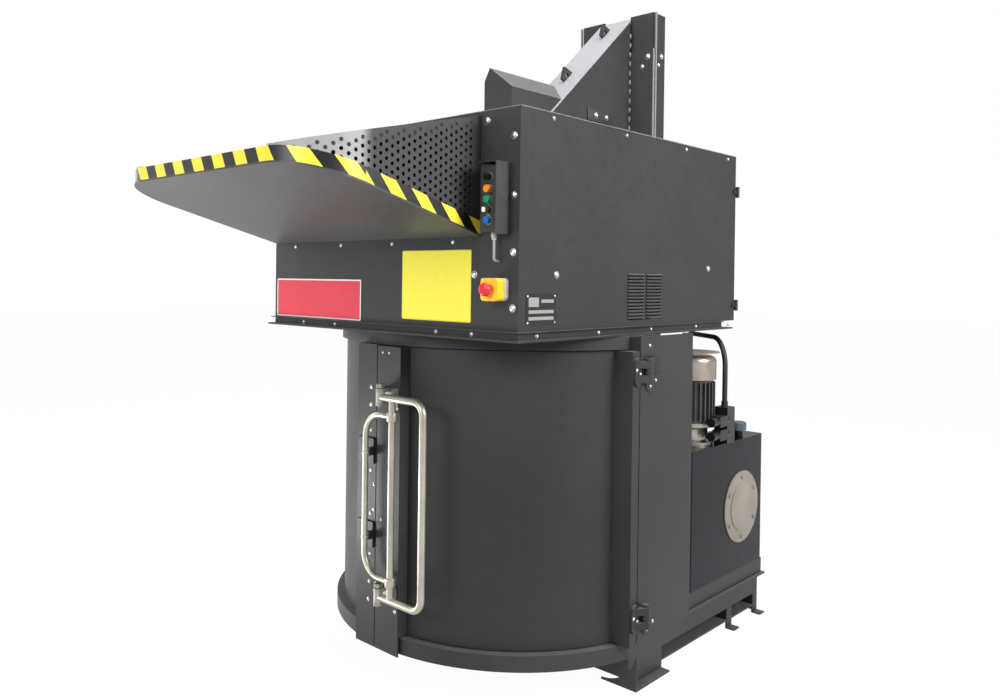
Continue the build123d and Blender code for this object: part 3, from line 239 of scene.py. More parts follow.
# Sheet steel of the drum, hopper, door, base and mast: folded and welded plate under a
# fine-textured anthracite powder coat. The grain is under a millimetre across, and the
# colour drifts a little from sheet to sheet where hands and dust have been. Upward faces
# are painted paler as a painted top light, patchy with the dust.
def powder_coat(name, dark, pale, roughness):
    made, shader, place = start_material(name, Specular_IOR_Level=0.3)
    drift = place.noise(2.3, 3.0)
    dust = place.noise(34.0, 4.0)
    grain = place.noise(620.0, 2.0)
    rise = place.node("NewGeometry", output="Normal").axis("Z")
    # Painted top light: faces that look upwards are mixed towards pale grey, patchy with the dust noise.
    top_light_and_dust = rise.smooth(0.5, 0.95) * (0.35 + dust * 0.5)
    coat = (drift * 0.7 + dust * 0.3).smooth(0.3, 0.7).colour(dark, pale)
    top_light_and_dust.colour(coat, shade_of(112, 112, 113)).into(shader, "Base Color")
    (roughness + dust * 0.12 - 0.06).into(shader, "Roughness")
    grain.bump(0.35, 0.0006).into(shader, "Normal")
    return made


anthracite = powder_coat("anthracite_coat", shade_of(44, 44, 45), shade_of(52, 52, 52), 0.46)
dress(anthracite, "drum_wall", "latch_post", "side_columns", "drum_collar", "column_hinges", "door_skin",
      "door_frame", "door_hinges", "front_panel", "front_post", "right_panel", "left_panel",
      "rear_panels", "roof_panel", "chute_guards", "service_door", "mast", "arm_box", "motor_hood",
      "carriage", "tank_tray", "housing_floor", "lifting_lugs")
base_coat = powder_coat("base_coat", shade_of(48, 48, 49), shade_of(58, 58, 58), 0.5)
dress(base_coat, "base_frame")
pan_coat = powder_coat("pan_coat", shade_of(50, 50, 51), shade_of(62, 62, 62), 0.46)
dress(pan_coat, "floor_pan")
# Arm cover: its pale grey is a painted highlight, standing for the overhead light that grazes its top.
top_lit_cover_coat = powder_coat("top_lit_cover_coat", shade_of(150, 151, 154), shade_of(166, 166, 169), 0.42)
dress(top_lit_cover_coat, "arm_cover")
# Edge coat: a paler copy of the anthracite coat, a painted highlight on the rolled edges and the arm's weld
# stitches.
edge_highlight_coat = powder_coat("edge_highlight_coat", shade_of(104, 104, 105), shade_of(122, 122, 122), 0.4)

# Feed chute: the same coated sheet, with a tape of black and yellow hazard stripes stuck
# all round the outside of its upturned lip.
chute_low, chute_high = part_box("chute_tray")
lip_y = chute_low[1]
housing_face = -0.708
sill_z = 1.512
chute_slope = 0.266
stripe_pitch = 0.116
stripe_start = 0.087
chute_middle = (chute_low[0] + chute_high[0]) / 2
chute_coat, shader, place = start_material("chute_coat", Specular_IOR_Level=0.45)
x = place.axis("X")
y = place.axis("Y")
z = place.axis("Z")
above_sheet = z - sill_z - (housing_face - y) * chute_slope
to_right = (x > chute_middle) * 2.0 - 1.0
corner_radius = 0.190
corner_y = lip_y + corner_radius
corner_x = chute_high[0] - corner_radius
far_corner_x = chute_low[0] + corner_radius
half_pi = math.pi / 2
ahead = (corner_y - y).larger(0.0)
turn = ahead.maths("ARCTAN2", ahead, (x - corner_x).larger(0.0))
far_turn = ahead.maths("ARCTAN2", ahead, (far_corner_x - x).larger(0.0))
stretch = corner_radius * 0.83
along = (housing_face - corner_y) - to_right * (y - corner_y).larger(0.0) + turn * stretch
along = along + (corner_x - x).clamped(0.0, corner_x - far_corner_x) + (half_pi - far_turn) * stretch
lean = 1 - turn * 0.32
stripe = ((along - lean * above_sheet - stripe_start) / stripe_pitch).fraction() < 0.5
taped = above_sheet > 0.0015
drift = place.noise(2.3, 3.0)
sheet_colour = drift.smooth(0.3, 0.7).colour(shade_of(58, 58, 59), shade_of(66, 66, 66))
tape_colour = stripe.colour(shade_of(20, 20, 19), shade_of(244, 222, 60))
taped.colour(sheet_colour, tape_colour).into(shader, "Base Color")
(0.46 - taped * 0.1 + place.noise(34.0, 4.0) * 0.08).into(shader, "Roughness")
(place.noise(620.0, 2.0) * (1 - taped)).bump(0.35, 0.0006).into(shader, "Normal")
dress(chute_coat, "chute_tray")


# Bare and plated steel: the latch tubes are yellow-zinc plated, the lugs, pins and rods bare.
# Fine scratches run along the metal, and the plating's tone wanders.
def plated(name, low, high, roughness, stretch, metallic=1.0):
    made, shader, place = start_material(name, Metallic=metallic)
    tone = place.noise(9.0, 4.0)
    scratch = place.noise(180.0, 3.0, stretch)
    tone.smooth(0.3, 0.7).colour(low, high).into(shader, "Base Color")
    (roughness + scratch * 0.2 - 0.1).into(shader, "Roughness")
    scratch.bump(0.2, 0.0003).into(shader, "Normal")
    return made


zinc = plated("zinc_plating", shade_of(166, 161, 148), shade_of(192, 187, 174), 0.4, (1, 1, 0.06), 0.8)
dress(zinc, "latch_handle", "latch_loop")
dull_zinc = plated("dull_zinc", shade_of(140, 138, 130), shade_of(170, 168, 160), 0.42, (1, 1, 0.3))
dress(dull_zinc, "latch_brackets")
bare_steel = plated("bare_steel", shade_of(150, 150, 148), shade_of(190, 190, 188), 0.28, (1, 1, 0.05))
dress(bare_steel, "lift_rod", "roller_axle")
brass = plated("brass_pipe", shade_of(150, 112, 66), shade_of(188, 150, 100), 0.3, (1, 1, 1))
dress(brass, "steel_pipe")
dark_steel = plated("blackened_steel", shade_of(46, 46, 46), shade_of(70, 68, 66), 0.5, (1, 1, 0.4), 0.6)
dress(dark_steel, "loop_saddles", "service_hinge_blocks", "service_hinge_leaves")
worn_steel = plated("worn_steel", shade_of(92, 84, 76), shade_of(140, 134, 128), 0.45, (1, 1, 1))
dress(worn_steel, "roller", "rotor_shaft")
lock_nuts = plated("bright_zinc", shade_of(188, 190, 190), shade_of(220, 222, 222), 0.3, (1, 1, 1))


# Castings and machined blocks of the rotor drive, pump, motor and cylinder, under a thin
# coat of dark enamel that leaves the cast skin's pitting to be seen.
def enamel(name, low, high, roughness, grain, metallic=0.0):
    made, shader, place = start_material(name, Metallic=metallic)
    skin = place.noise(grain, 5.0)
    place.noise(7.0, 3.0).smooth(0.3, 0.7).colour(low, high).into(shader, "Base Color")
    (roughness + skin * 0.16 - 0.08).into(shader, "Roughness")
    skin.bump(0.3, 0.0008).into(shader, "Normal")
    return made


casting = enamel("dark_casting", shade_of(44, 45, 48), shade_of(60, 61, 64), 0.5, 160.0)
dress(casting, "rotor_bearing", "rotor_motor", "lift_barrel")
bell_metal = enamel("bell_metal", shade_of(150, 146, 138), shade_of(192, 188, 180), 0.3, 120.0, 0.85)
dress(bell_metal, "pump_bell")
block_steel = enamel("valve_steel", shade_of(30, 30, 30), shade_of(46, 45, 44), 0.34, 90.0, 0.3)
dress(block_steel, "valve_block")
motor_paint = enamel("motor_paint", shade_of(58, 60, 60), shade_of(76, 77, 77), 0.4, 140.0)
dress(motor_paint, "motor_body")
cowl_metal = enamel("cowl_metal", shade_of(146, 136, 126), shade_of(178, 168, 158), 0.3, 60.0, 0.8)
dress(cowl_metal, "fan_cowl")
cover_paint = enamel("cover_paint", shade_of(128, 121, 112), shade_of(146, 139, 130), 0.4, 60.0)
dress(cover_paint, "tank_cover")

# Oil tank: folded and welded steel sheet under thick gloss enamel, nearly black with a
# blue cast, its surface slightly wavy from the spray.
tank_gloss, shader, place = start_material("tank_gloss", Specular_IOR_Level=0.14)
tank_tone = place.noise(3.0, 3.0).smooth(0.3, 0.7)
tank_tone.colour(shade_of(12, 12, 17), shade_of(20, 20, 29)).into(shader, "Base Color")
(0.14 + place.noise(26.0, 4.0) * 0.1).into(shader, "Roughness")
(place.noise(14.0, 2.0) * 0.5).bump(0.06, 0.002).into(shader, "Normal")
dress(tank_gloss, "oil_tank")


# Moulded parts of the controls: matt black boxes and glands, coloured push heads and the
# stop's red mushroom on its yellow box, with a faint mould grain.
def moulded(name, low, high, roughness, grain=240.0):
    made, shader, place = start_material(name)
    place.noise(20.0, 3.0).smooth(0.3, 0.7).colour(low, high).into(shader, "Base Color")
    (roughness + place.noise(60.0, 3.0) * 0.08).into(shader, "Roughness")
    place.noise(grain, 2.0).bump(0.12, 0.0004).into(shader, "Normal")
    return made


dress(moulded("control_black", shade_of(26, 27, 28), shade_of(36, 37, 38), 0.5), "control_box")
dress(moulded("hood_black", shade_of(36, 36, 37), shade_of(46, 46, 47), 0.46), "control_hood")
dress(moulded("gland_grey", shade_of(172, 172, 168), shade_of(196, 196, 192), 0.4), "cable_gland")
dress(moulded("lead_grey", shade_of(150, 150, 148), shade_of(172, 172, 170), 0.5), "control_lead")
dress(moulded("cap_blue_grey", shade_of(70, 78, 88), shade_of(88, 96, 106), 0.45), "filler_cap")
dress(moulded("lamp_lens", shade_of(18, 18, 20), shade_of(30, 30, 33), 0.12), "pilot_lamp")
dress(moulded("push_orange", shade_of(250, 140, 20), shade_of(255, 160, 36), 0.25), "orange_button")
dress(moulded("push_green", shade_of(18, 140, 108), shade_of(28, 160, 124), 0.25), "green_button")
dress(moulded("push_blue", shade_of(12, 92, 172), shade_of(18, 106, 188), 0.25), "blue_button")
dress(moulded("stop_red", shade_of(212, 34, 48), shade_of(226, 48, 62), 0.25), "stop_knob")
dress(moulded("rubber_black", shade_of(26, 26, 27), shade_of(38, 38, 38), 0.55), "pressure_hose")

# Key switch: a moulded black barrel pressed into the control box, with a bright steel key
# standing out of it.
key_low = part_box("key_switch")[0]
key_metal, shader, place = start_material("key_and_barrel")
blade = place.axis("Y") < key_low[1] + 0.012
blade.colour(shade_of(28, 28, 29), shade_of(222, 222, 216)).into(shader, "Base Color")
(0.4 - blade * 0.1 + place.noise(60.0, 3.0) * 0.08).into(shader, "Roughness")
dress(key_metal, "key_switch")

# Stop box: a yellow lid on a light grey back half, both moulded, held together by a screw in
# each corner with a dark joint between them.
stop_low, stop_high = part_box("stop_box")
stop_shell, shader, place = start_material("stop_shell")
back_half = place.axis("Y") > stop_high[1] - 0.018
joint = place.axis("Y").between(stop_high[1] - 0.0192, stop_high[1] - 0.018)
shell = place.noise(20.0, 3.0).smooth(0.3, 0.7)
lid = shell.colour(shade_of(250, 190, 30), shade_of(255, 202, 50))
shell = back_half.colour(lid, shade_of(196, 196, 190))
joint.colour(shell, shade_of(120, 96, 40)).into(shader, "Base Color")
(0.35 + place.noise(60.0, 3.0) * 0.08).into(shader, "Roughness")
place.noise(240.0, 2.0).bump(0.12, 0.0004).into(shader, "Normal")
dress(stop_shell, "stop_box")


# Domed panel bolts: low round heads on a thin washer, zinc plated, that hold the hopper's
# sheets to each other and to the skirt.
def choose(*pieces):
    """Selects these pieces alone, in object mode, with the first one active."""
    if bpy.context.object and bpy.context.object.mode != "OBJECT":
        bpy.ops.object.mode_set(mode="OBJECT")
    bpy.ops.object.select_all(action="DESELECT")
    for piece in pieces:
        piece.select_set(True)
    bpy.context.view_layer.objects.active = pieces[0]


def pick(piece, test):
    """Goes to edit mode with the faces that pass a test selected."""
    choose(piece)
    bpy.ops.object.mode_set(mode="EDIT")
    bpy.ops.mesh.select_mode(type="FACE")
    bpy.ops.mesh.select_all(action="DESELECT")
    bpy.ops.object.mode_set(mode="OBJECT")
    for face in piece.data.polygons:
        face.select = test(face)
    bpy.ops.object.mode_set(mode="EDIT")


def settle(piece, material, body):
    """Puts a finished piece's place in its mesh, and gives it its finish and its body."""
    choose(piece)
    bpy.ops.object.transform_apply(location=True, rotation=True, scale=True)
    bpy.ops.object.shade_smooth_by_angle(angle=math.radians(35))
    piece.data.materials.clear()
    piece.data.materials.append(material)
    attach(piece, body)


def spread(first, name, places, material, body):
    """Copies of one fastener, each turned and set in its place, in one group."""
    copies = []
    for where, turn in places:
        choose(first)
        bpy.ops.object.duplicate(linked=False)
        copy = bpy.context.object
        copy.location = where
        copy.rotation_euler = turn
        copies.append(copy)
    choose(*copies)
    bpy.ops.object.join()
    group = bpy.context.object
    group.name = name
    settle(group, material, body)
    return group


to_front = (math.pi / 2, 0, 0)
to_right_side = (0, math.pi / 2, 0)
to_left_side = (0, -math.pi / 2, 0)
upright = (0, 0, 0)
housing_side = 0.628


def domed_head(radius):
    """A thin round washer with a low dome raised on it in four steps."""
    bpy.ops.mesh.primitive_cylinder_add(vertices=20, radius=radius * 1.25, depth=0.002,
                                        location=(0, 0, 0.001))
    head = bpy.context.object
    pick(head, lambda face: face.normal.z > 0.9)
    bpy.ops.mesh.inset(thickness=radius * 0.25)
    for rise, keep in ((0.28, 0.94), (0.2, 0.82), (0.12, 0.62), (0.05, 0.3)):
        bpy.ops.mesh.extrude_region_move(TRANSFORM_OT_translate={"value": (0, 0, radius * rise)})
        bpy.ops.transform.resize(value=(keep, keep, 1))
    bpy.ops.object.mode_set(mode="OBJECT")
    return head


front_bolts = [((x, housing_face, z), to_front) for x, z in (
    (0.497, 1.857), (0.606, 1.802), (0.606, 1.627), (0.606, 1.458), (0.606, 1.292), (0.450, 1.391))]
side_bolts = [((housing_side, y, z), to_right_side) for y, z in ((-0.528, 1.393), (0.428, 1.429))]
first = domed_head(0.0095)
spread(first, "panel_bolts", front_bolts + side_bolts, lock_nuts, "frame")
first.name = "small_head"
first.scale = (0.6, 0.6, 0.6)
skirt_level = 1.207
roof_level = 1.872
small = [((x, housing_face, 1.493), to_front) for x in (-0.494, -0.215, 0.064, 0.354)]
small += [((x, housing_face, skirt_level), to_front) for x in (-0.437, -0.245, 0.283, 0.440)]
for level, depths in ((skirt_level, (-0.62, -0.3, 0.02, 0.34, 0.6)),
                      (roof_level, (-0.55, -0.15, 0.25, 0.58))):
    for side_x, facing in ((housing_side, to_right_side), (-housing_side, to_left_side)):
        small += [((side_x, y, level), facing) for y in depths]
spread(first, "skirt_bolts", small, lock_nuts, "frame")
bpy.data.objects.remove(first)

# Louvres: two columns of slots in the right panel let air through, and each slot has a hood
# pressed out over it that sheds rain.
louvre_rows = 14
louvre_pitch = 0.0115
bpy.ops.mesh.primitive_cube_add(size=1, location=(0, 0, 0))
hood = bpy.context.object
hood.scale = (0.006, 0.104, 0.0065)
bpy.ops.object.transform_apply(scale=True)
pick(hood, lambda face: face.normal.x > 0.9)
bpy.ops.transform.resize(value=(1, 0.94, 0.55))
bpy.ops.transform.translate(value=(0, 0, -0.0018))
bpy.ops.object.mode_set(mode="OBJECT")
rows = [((housing_side + 0.0025, -0.025 + side * 0.058,
          1.320 + (row - (louvre_rows - 1) / 2) * louvre_pitch + 0.0052), upright)
        for side in (-1, 1) for row in range(louvre_rows)]
spread(hood, "louvre_hoods", rows, anthracite, "frame")
bpy.data.objects.remove(hood)


# Plates on the hopper: thin enamelled sheets with rounded corners, two on the front and a
# small black one on the right side with a rivet in every corner.
def field_plate(name, centre, size, turn, corner, coat, slot):
    bpy.ops.mesh.primitive_plane_add(size=1, location=centre)
    plate = bpy.context.object
    plate.name = name
    plate.scale = (size[0], size[1], 1)
    plate.rotation_euler = turn
    bpy.ops.object.transform_apply(scale=True)
    bpy.ops.object.mode_set(mode="EDIT")
    bpy.ops.mesh.select_all(action="SELECT")
    bpy.ops.mesh.bevel(offset=corner, segments=4, affect="VERTICES")
    bpy.ops.object.mode_set(mode="OBJECT")
    wall = plate.modifiers.new("sheet", "SOLIDIFY")
    wall.thickness = 0.0012
    wall.offset = 1
    bpy.ops.object.modifier_apply(modifier="sheet")
    settle(plate, coat, "frame")
    return plate


def bordered(name, field, border, low, high, edge):
    """Enamel with a border line, by the place on the plate."""
    made, shader, place = start_material(name)
    inner = (place.axis("X").between(low[0] + edge, high[0] - edge)
             * place.axis("Z").between(low[1] + edge, high[1] - edge))
    wear = place.noise(40.0, 4.0)
    inner.colour(border, wear.colour(field[0], field[1])).into(shader, "Base Color")
    (0.3 + wear * 0.15).into(shader, "Roughness")
    return made


for colour, low, high, field, border, edge in (
        ("red", (-0.614, 1.225), (-0.097, 1.370), (shade_of(202, 50, 66), shade_of(214, 64, 78)),
         shade_of(226, 226, 222), 0.005),
        ("yellow", (0.119, 1.242), (0.437, 1.468), (shade_of(240, 228, 70), shade_of(248, 238, 84)),
         shade_of(228, 214, 60), 0.004)):
    coat = bordered(colour + "_enamel", field, border, low, high, edge)
    field_plate(colour + "_plate", ((low[0] + high[0]) / 2, housing_face, (low[1] + high[1]) / 2),
                (high[0] - low[0], high[1] - low[1]), to_front, 0.006, coat, colour + "_plastic")
data_y = -0.602
data_z = 1.288
data_coat, shader, place = start_material("data_enamel")
plate_y = place.axis("Y") - data_y
plate_z = place.axis("Z") - data_z
fields = (plate_y.between(-0.060, -0.012) * plate_z.between(0.008, 0.036)).larger(
    plate_y.between(0.0, 0.060) * plate_z.between(0.020, 0.030)).larger(
    plate_y.between(-0.060, 0.060) * plate_z.between(-0.012, -0.002)).larger(
    plate_y.between(-0.060, 0.060) * plate_z.between(-0.032, -0.022))
fields.colour(shade_of(22, 22, 23), shade_of(150, 150, 146)).into(shader, "Base Color")
(0.3 + place.noise(40.0, 4.0) * 0.15).into(shader, "Roughness")
field_plate("data_plate", (housing_side, data_y, data_z), (0.094, 0.144), to_right_side, 0.004,
            data_coat, "black_plastic")
rivet = domed_head(0.003)
data_rivets = [((housing_side + 0.0012, data_y + a * 0.065, data_z + b * 0.040), to_right_side)
               for a in (-1, 1) for b in (-1, 1)]
spread(rivet, "data_plate_rivets", data_rivets, lock_nuts, "frame")
bpy.data.objects.remove(rivet)

# Chute guards: perforated 3 mm sheet inside the lip on both sides, rolled round the corner
# and sheared to a falling top edge. The holes are punched in staggered rows 24 mm apart.
def shape_curve(curve, flat, corners):
    """Gives a Bezier curve its points, each a place with its two handles' offsets."""
    points = curve.data.splines[0].bezier_points
    points.add(len(corners) - len(points))
    for point, (place, before, after) in zip(points, corners):
        point.handle_left_type = "FREE"
        point.handle_right_type = "FREE"
        point.co = flat(*place)
        point.handle_left = flat(place[0] + before[0], place[1] + before[1])
        point.handle_right = flat(place[0] + after[0], place[1] + after[1])


guard_low, guard_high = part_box("chute_guards")
guard_sheet = 0.003
front_face = -0.7086
guard_x = guard_high[0] - guard_sheet / 2
bend_radius = guard_x - corner_x
straight = front_face - corner_y
run = straight + bend_radius * half_pi
guard_fall = 0.232
bend_steps = 24
circle_pull = 0.5523
bpy.ops.mesh.primitive_cube_add(size=1, location=(run / 2, 0, 1.70))
guard = bpy.context.object
guard.scale = (run, guard_sheet, 0.44)
bpy.ops.object.transform_apply(location=True, rotation=True, scale=True)
bpy.ops.object.mode_set(mode="EDIT")
for step in range(bend_steps):
    bpy.ops.mesh.select_all(action="SELECT")
    bpy.ops.mesh.bisect(plane_co=(straight + (run - straight) * step / bend_steps, 0, 0),
                        plane_no=(1, 0, 0))
bpy.ops.object.mode_set(mode="OBJECT")
hole_pitch = 0.024
column_pitch = hole_pitch * 0.866
columns = []
for column in range(int((run - 0.08) / column_pitch)):
    reach = 0.044 + column * column_pitch
    stagger = 0.5 * (column % 2)
    y = front_face - reach
    if reach > straight:
        y = corner_y - bend_radius * math.sin((reach - straight) / bend_radius)
    lowest = sill_z + chute_slope * (front_face - y) + 0.016
    highest = guard_high[2] + guard_fall * (y - front_face) - 0.014
    first_row = math.ceil((lowest - sill_z) / hole_pitch - stagger)
    last_row = math.floor((highest - sill_z) / hole_pitch - stagger)
    if last_row < first_row:
        continue
    bpy.ops.mesh.primitive_cylinder_add(
        vertices=12, radius=0.006, depth=0.02, rotation=(half_pi, 0, 0),
        location=(reach, 0, sill_z + hole_pitch * (first_row + stagger)))
    punch = bpy.context.object
    bpy.ops.object.transform_apply(location=True, rotation=True, scale=True)
    rows = punch.modifiers.new("rows", "ARRAY")
    rows.count = last_row - first_row + 1
    rows.use_relative_offset = False
    rows.use_constant_offset = True
    rows.constant_offset_displace = (0, 0, hole_pitch)
    bpy.ops.object.modifier_apply(modifier="rows")
    columns.append(punch)
choose(*columns)
bpy.ops.object.join()
punches = bpy.context.object
bpy.ops.curve.primitive_bezier_curve_add()
former = bpy.context.object
former.data.resolution_u = 48
former.data.twist_mode = "Z_UP"
pull = circle_pull * bend_radius
shape_curve(former, lambda across, depth: (across, depth, 0), (
    ((guard_x, front_face), (0, 0.1), (0, -0.15)),
    ((guard_x, corner_y), (0, 0.15), (0, -pull)),
    ((corner_x, corner_y - bend_radius), (pull, 0), (-0.1, 0))))
choose(guard)
cut = guard.modifiers.new("holes", "BOOLEAN")
cut.operation = "DIFFERENCE"
cut.object = punches
bpy.ops.object.modifier_apply(modifier="holes")
bend = guard.modifiers.new("bend", "CURVE")
bend.object = former
bend.deform_axis = "POS_X"
bpy.ops.object.modifier_apply(modifier="bend")
bpy.data.objects.remove(punches)
bpy.data.objects.remove(former)
pick(guard, lambda face: True)
bpy.ops.mesh.bisect(plane_co=(0, front_face, guard_high[2]), plane_no=(0, -guard_fall, 1),
                    use_fill=True, clear_outer=True)
bpy.ops.mesh.select_all(action="SELECT")
bpy.ops.mesh.bisect(plane_co=(0, front_face, sill_z + 0.0005), plane_no=(0, chute_slope, 1),
                    use_fill=True, clear_inner=True)
bpy.ops.mesh.select_all(action="SELECT")
bpy.ops.mesh.normals_make_consistent(inside=False)
bpy.ops.object.mode_set(mode="OBJECT")
choose(guard)
bpy.ops.object.duplicate(linked=False)
far_guard = bpy.context.object
far_guard.scale = (-1, 1, 1)
far_guard.location = (guard_low[0] + guard_high[0], 0, 0)
bpy.ops.object.transform_apply(location=True, rotation=True, scale=True)
pick(far_guard, lambda face: True)
bpy.ops.mesh.normals_make_consistent(inside=False)
bpy.ops.object.mode_set(mode="OBJECT")
choose(guard, far_guard)
bpy.ops.object.join()
guard.name = "guard_sheets"
guard_coat, shader, place = start_material("guard_coat", Specular_IOR_Level=0.4)
# Painted light: the rolled corner is painted pale as a painted sheen, and the far guard is painted pale all
# over as painted light so that its holes show pale; a noise varies both.
rolled = (corner_y + 0.03 - place.axis("Y")).smooth(0.0, 0.05)
far_side = place.axis("X") < chute_middle
corner_sheen_and_lit_far_side = rolled.larger(far_side) * (0.75 + place.noise(24.0, 4.0) * 0.4)
corner_sheen_and_lit_far_side.colour(shade_of(48, 48, 49), shade_of(158, 158, 160)).into(shader, "Base Color")
(0.42 + place.noise(34.0, 4.0) * 0.1).into(shader, "Roughness")
place.noise(620.0, 2.0).bump(0.35, 0.0006).into(shader, "Normal")
settle(guard, guard_coat, "frame")
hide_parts("chute_guards")


# Small hardware of the door: domed screws along the latch post and strip, a hexagon nut on
# each latch pivot, and three screws in every hinge leaf with a round plate on the column.
door_face = -0.698
leaf_face = 0.710
column_face = 0.702
hinge_levels = (1.075, 0.252)
post_screws = [((x, door_face, z), to_front) for x, z in (
    (-0.046, 0.997), (-0.046, 0.936), (-0.046, 0.319), (-0.050, 0.256))]
strip_screws = [((x, door_face, z), to_front) for x, z in (
    (0.090, 0.994), (0.090, 0.936), (0.090, 0.308), (0.090, 0.248))]
screw = domed_head(0.0058)
spread(screw, "post_screws", post_screws, lock_nuts, "frame")
spread(screw, "strip_screws", strip_screws, lock_nuts, "door")
screw.scale = (0.62, 0.62, 0.62)
saddle_screws = [((x, door_face, z), to_front) for x, z in (
    (-0.046, 0.846), (-0.046, 0.706), (-0.028, 0.660), (-0.030, 0.572), (-0.047, 0.556), (-0.046, 0.416))]
spread(screw, "saddle_screws", saddle_screws, lock_nuts, "frame")
door_rivets = [((x, door_face, z), to_front) for x, z in ((0.012, 1.121), (0.045, 1.121), (0.012, 0.546))]
spread(screw, "door_rivets", door_rivets, lock_nuts, "door")
screw.scale = (0.9, 0.9, 0.9)
leaf_screws = [((leaf_face, y, level + lift), to_right_side) for level in hinge_levels
               for y, lift in ((-0.196, 0.007), (-0.174, 0.022), (-0.174, -0.007))]
spread(screw, "leaf_screws", leaf_screws, lock_nuts, "door")

bpy.ops.mesh.primitive_cylinder_add(vertices=32, radius=0.040, depth=0.004, location=(0, 0, 0.002))
hinge_disc = bpy.context.object
pick(hinge_disc, lambda face: face.normal.z > 0.9)
bpy.ops.mesh.inset(thickness=0.003)
bpy.ops.mesh.extrude_region_move(TRANSFORM_OT_translate={"value": (0, 0, 0.0015)})
bpy.ops.object.mode_set(mode="OBJECT")
discs = [((column_face, -0.097, level - 0.036), to_right_side) for level in hinge_levels]
spread(hinge_disc, "hinge_discs", discs, anthracite, "frame")
bpy.data.objects.remove(hinge_disc)
column_screws = [((column_face + 0.0055, y, level + lift), to_right_side) for level in hinge_levels
                 for y, lift in ((-0.113, -0.021), (-0.075, -0.034), (-0.109, -0.052))]
column_screws.append(((column_face, -0.106, 1.160), to_right_side))
spread(screw, "column_screws", column_screws, lock_nuts, "frame")
bpy.data.objects.remove(screw)


def rounded_box(name, centre, size, radius, segments):
    """A flat box with every edge rounded."""
    bpy.ops.mesh.primitive_cube_add(size=1, location=centre)
    box = bpy.context.object
    box.name = name
    box.scale = size
    bpy.ops.object.transform_apply(location=False, rotation=True, scale=True)
    bpy.ops.object.mode_set(mode="EDIT")
    bpy.ops.mesh.select_all(action="SELECT")
    bpy.ops.mesh.bevel(offset=radius, segments=segments, affect="EDGES")
    bpy.ops.object.mode_set(mode="OBJECT")
    return box


hinge_cover = rounded_box("hinge_cover", (0.712, -0.092, 1.094), (0.020, 0.058, 0.058), 0.006, 3)
cover_black = moulded("cover_black", shade_of(26, 26, 27), shade_of(34, 34, 35), 0.5)
settle(hinge_cover, cover_black, "frame")

latch_y = -0.737
bpy.ops.mesh.primitive_cylinder_add(vertices=6, radius=0.0155, depth=0.012, location=(0, 0, 0))
nut = bpy.context.object
pick(nut, lambda face: abs(face.normal.z) > 0.9)
bpy.ops.mesh.inset(thickness=0.002)
bpy.ops.mesh.extrude_region_shrink_fatten(TRANSFORM_OT_shrink_fatten={"value": 0.001})
bpy.ops.object.mode_set(mode="OBJECT")
pivots = [((0.047, latch_y, z), upright) for z in (1.013, 0.338)]
spread(nut, "pivot_nuts", pivots, dull_zinc, "frame")
bpy.data.objects.remove(nut)


# Latch loop: one 20 mm zinc plated tube bent to wide corners and welded to two collars that
# turn on the handle's centre tube, with a thin band where each saddle holds it.
loop_x = -0.028
collar_x = 0.107
loop_top = 0.915
loop_foot = 0.362
loop_bend = 0.078
bpy.ops.curve.primitive_bezier_curve_add()
loop = bpy.context.object
loop.data.resolution_u = 12
loop.data.bevel_depth = 0.0105
loop.data.bevel_resolution = 4
pull = circle_pull * loop_bend
shape_curve(loop, lambda across, height: (across, latch_y, height), (
    ((collar_x, loop_top), (0.01, 0), (-0.02, 0)),
    ((loop_x + loop_bend, loop_top), (0.02, 0), (-pull, 0)),
    ((loop_x, loop_top - loop_bend), (0, pull), (0, -0.1)),
    ((loop_x, loop_foot + loop_bend), (0, 0.1), (0, -pull)),
    ((loop_x + loop_bend, loop_foot), (-pull, 0), (0.02, 0)),
    ((collar_x, loop_foot), (-0.02, 0), (0.01, 0))))
bpy.ops.object.convert(target="MESH")
loop = bpy.context.object
rings = []
for x, z, radius, height in ((collar_x, loop_top, 0.0180, 0.030), (collar_x, loop_foot, 0.0180, 0.030),
                             (loop_x, 0.776, 0.0122, 0.010), (loop_x, 0.486, 0.0122, 0.010)):
    bpy.ops.mesh.primitive_cylinder_add(vertices=28, radius=radius, depth=height, location=(x, latch_y, z))
    ring = bpy.context.object
    pick(ring, lambda face: abs(face.normal.z) > 0.9)
    bpy.ops.mesh.bevel(offset=0.0015, segments=2, affect="EDGES")
    bpy.ops.object.mode_set(mode="OBJECT")
    rings.append(ring)
choose(loop, *rings)
bpy.ops.object.join()
loop.name = "bent_loop"
settle(loop, zinc, "latch_loop")
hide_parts("latch_loop")


# Push button bezels: bright turned rings pressed into the control box round every head, and
# the four small screws that close the stop box.
bpy.ops.mesh.primitive_cylinder_add(vertices=28, radius=0.0142, depth=0.003, location=(0, 0, 0.0015))
bezel = bpy.context.object
pick(bezel, lambda face: face.normal.z > 0.9)
bpy.ops.mesh.inset(thickness=0.0010)
bpy.ops.mesh.extrude_region_move(TRANSFORM_OT_translate={"value": (0, 0, 0.0008)})
bpy.ops.mesh.inset(thickness=0.0014)
bpy.ops.mesh.extrude_region_move(TRANSFORM_OT_translate={"value": (0, 0, -0.003)})
bpy.ops.object.mode_set(mode="OBJECT")
control_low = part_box("control_box")[0]
rings = [((0.557, control_low[1], z), to_front) for z in (1.678, 1.643, 1.612, 1.581, 1.551)]
spread(bezel, "button_bezels", rings, bare_steel, "frame")
bpy.data.objects.remove(bezel)
stop_screw = domed_head(0.0024)
corners = [((x, stop_low[1], z), to_front) for x in (stop_low[0] + 0.006, stop_high[0] - 0.006)
           for z in (stop_low[2] + 0.006, stop_high[2] - 0.006)]
spread(stop_screw, "stop_screws", corners, lock_nuts, "frame")
bpy.data.objects.remove(stop_screw)


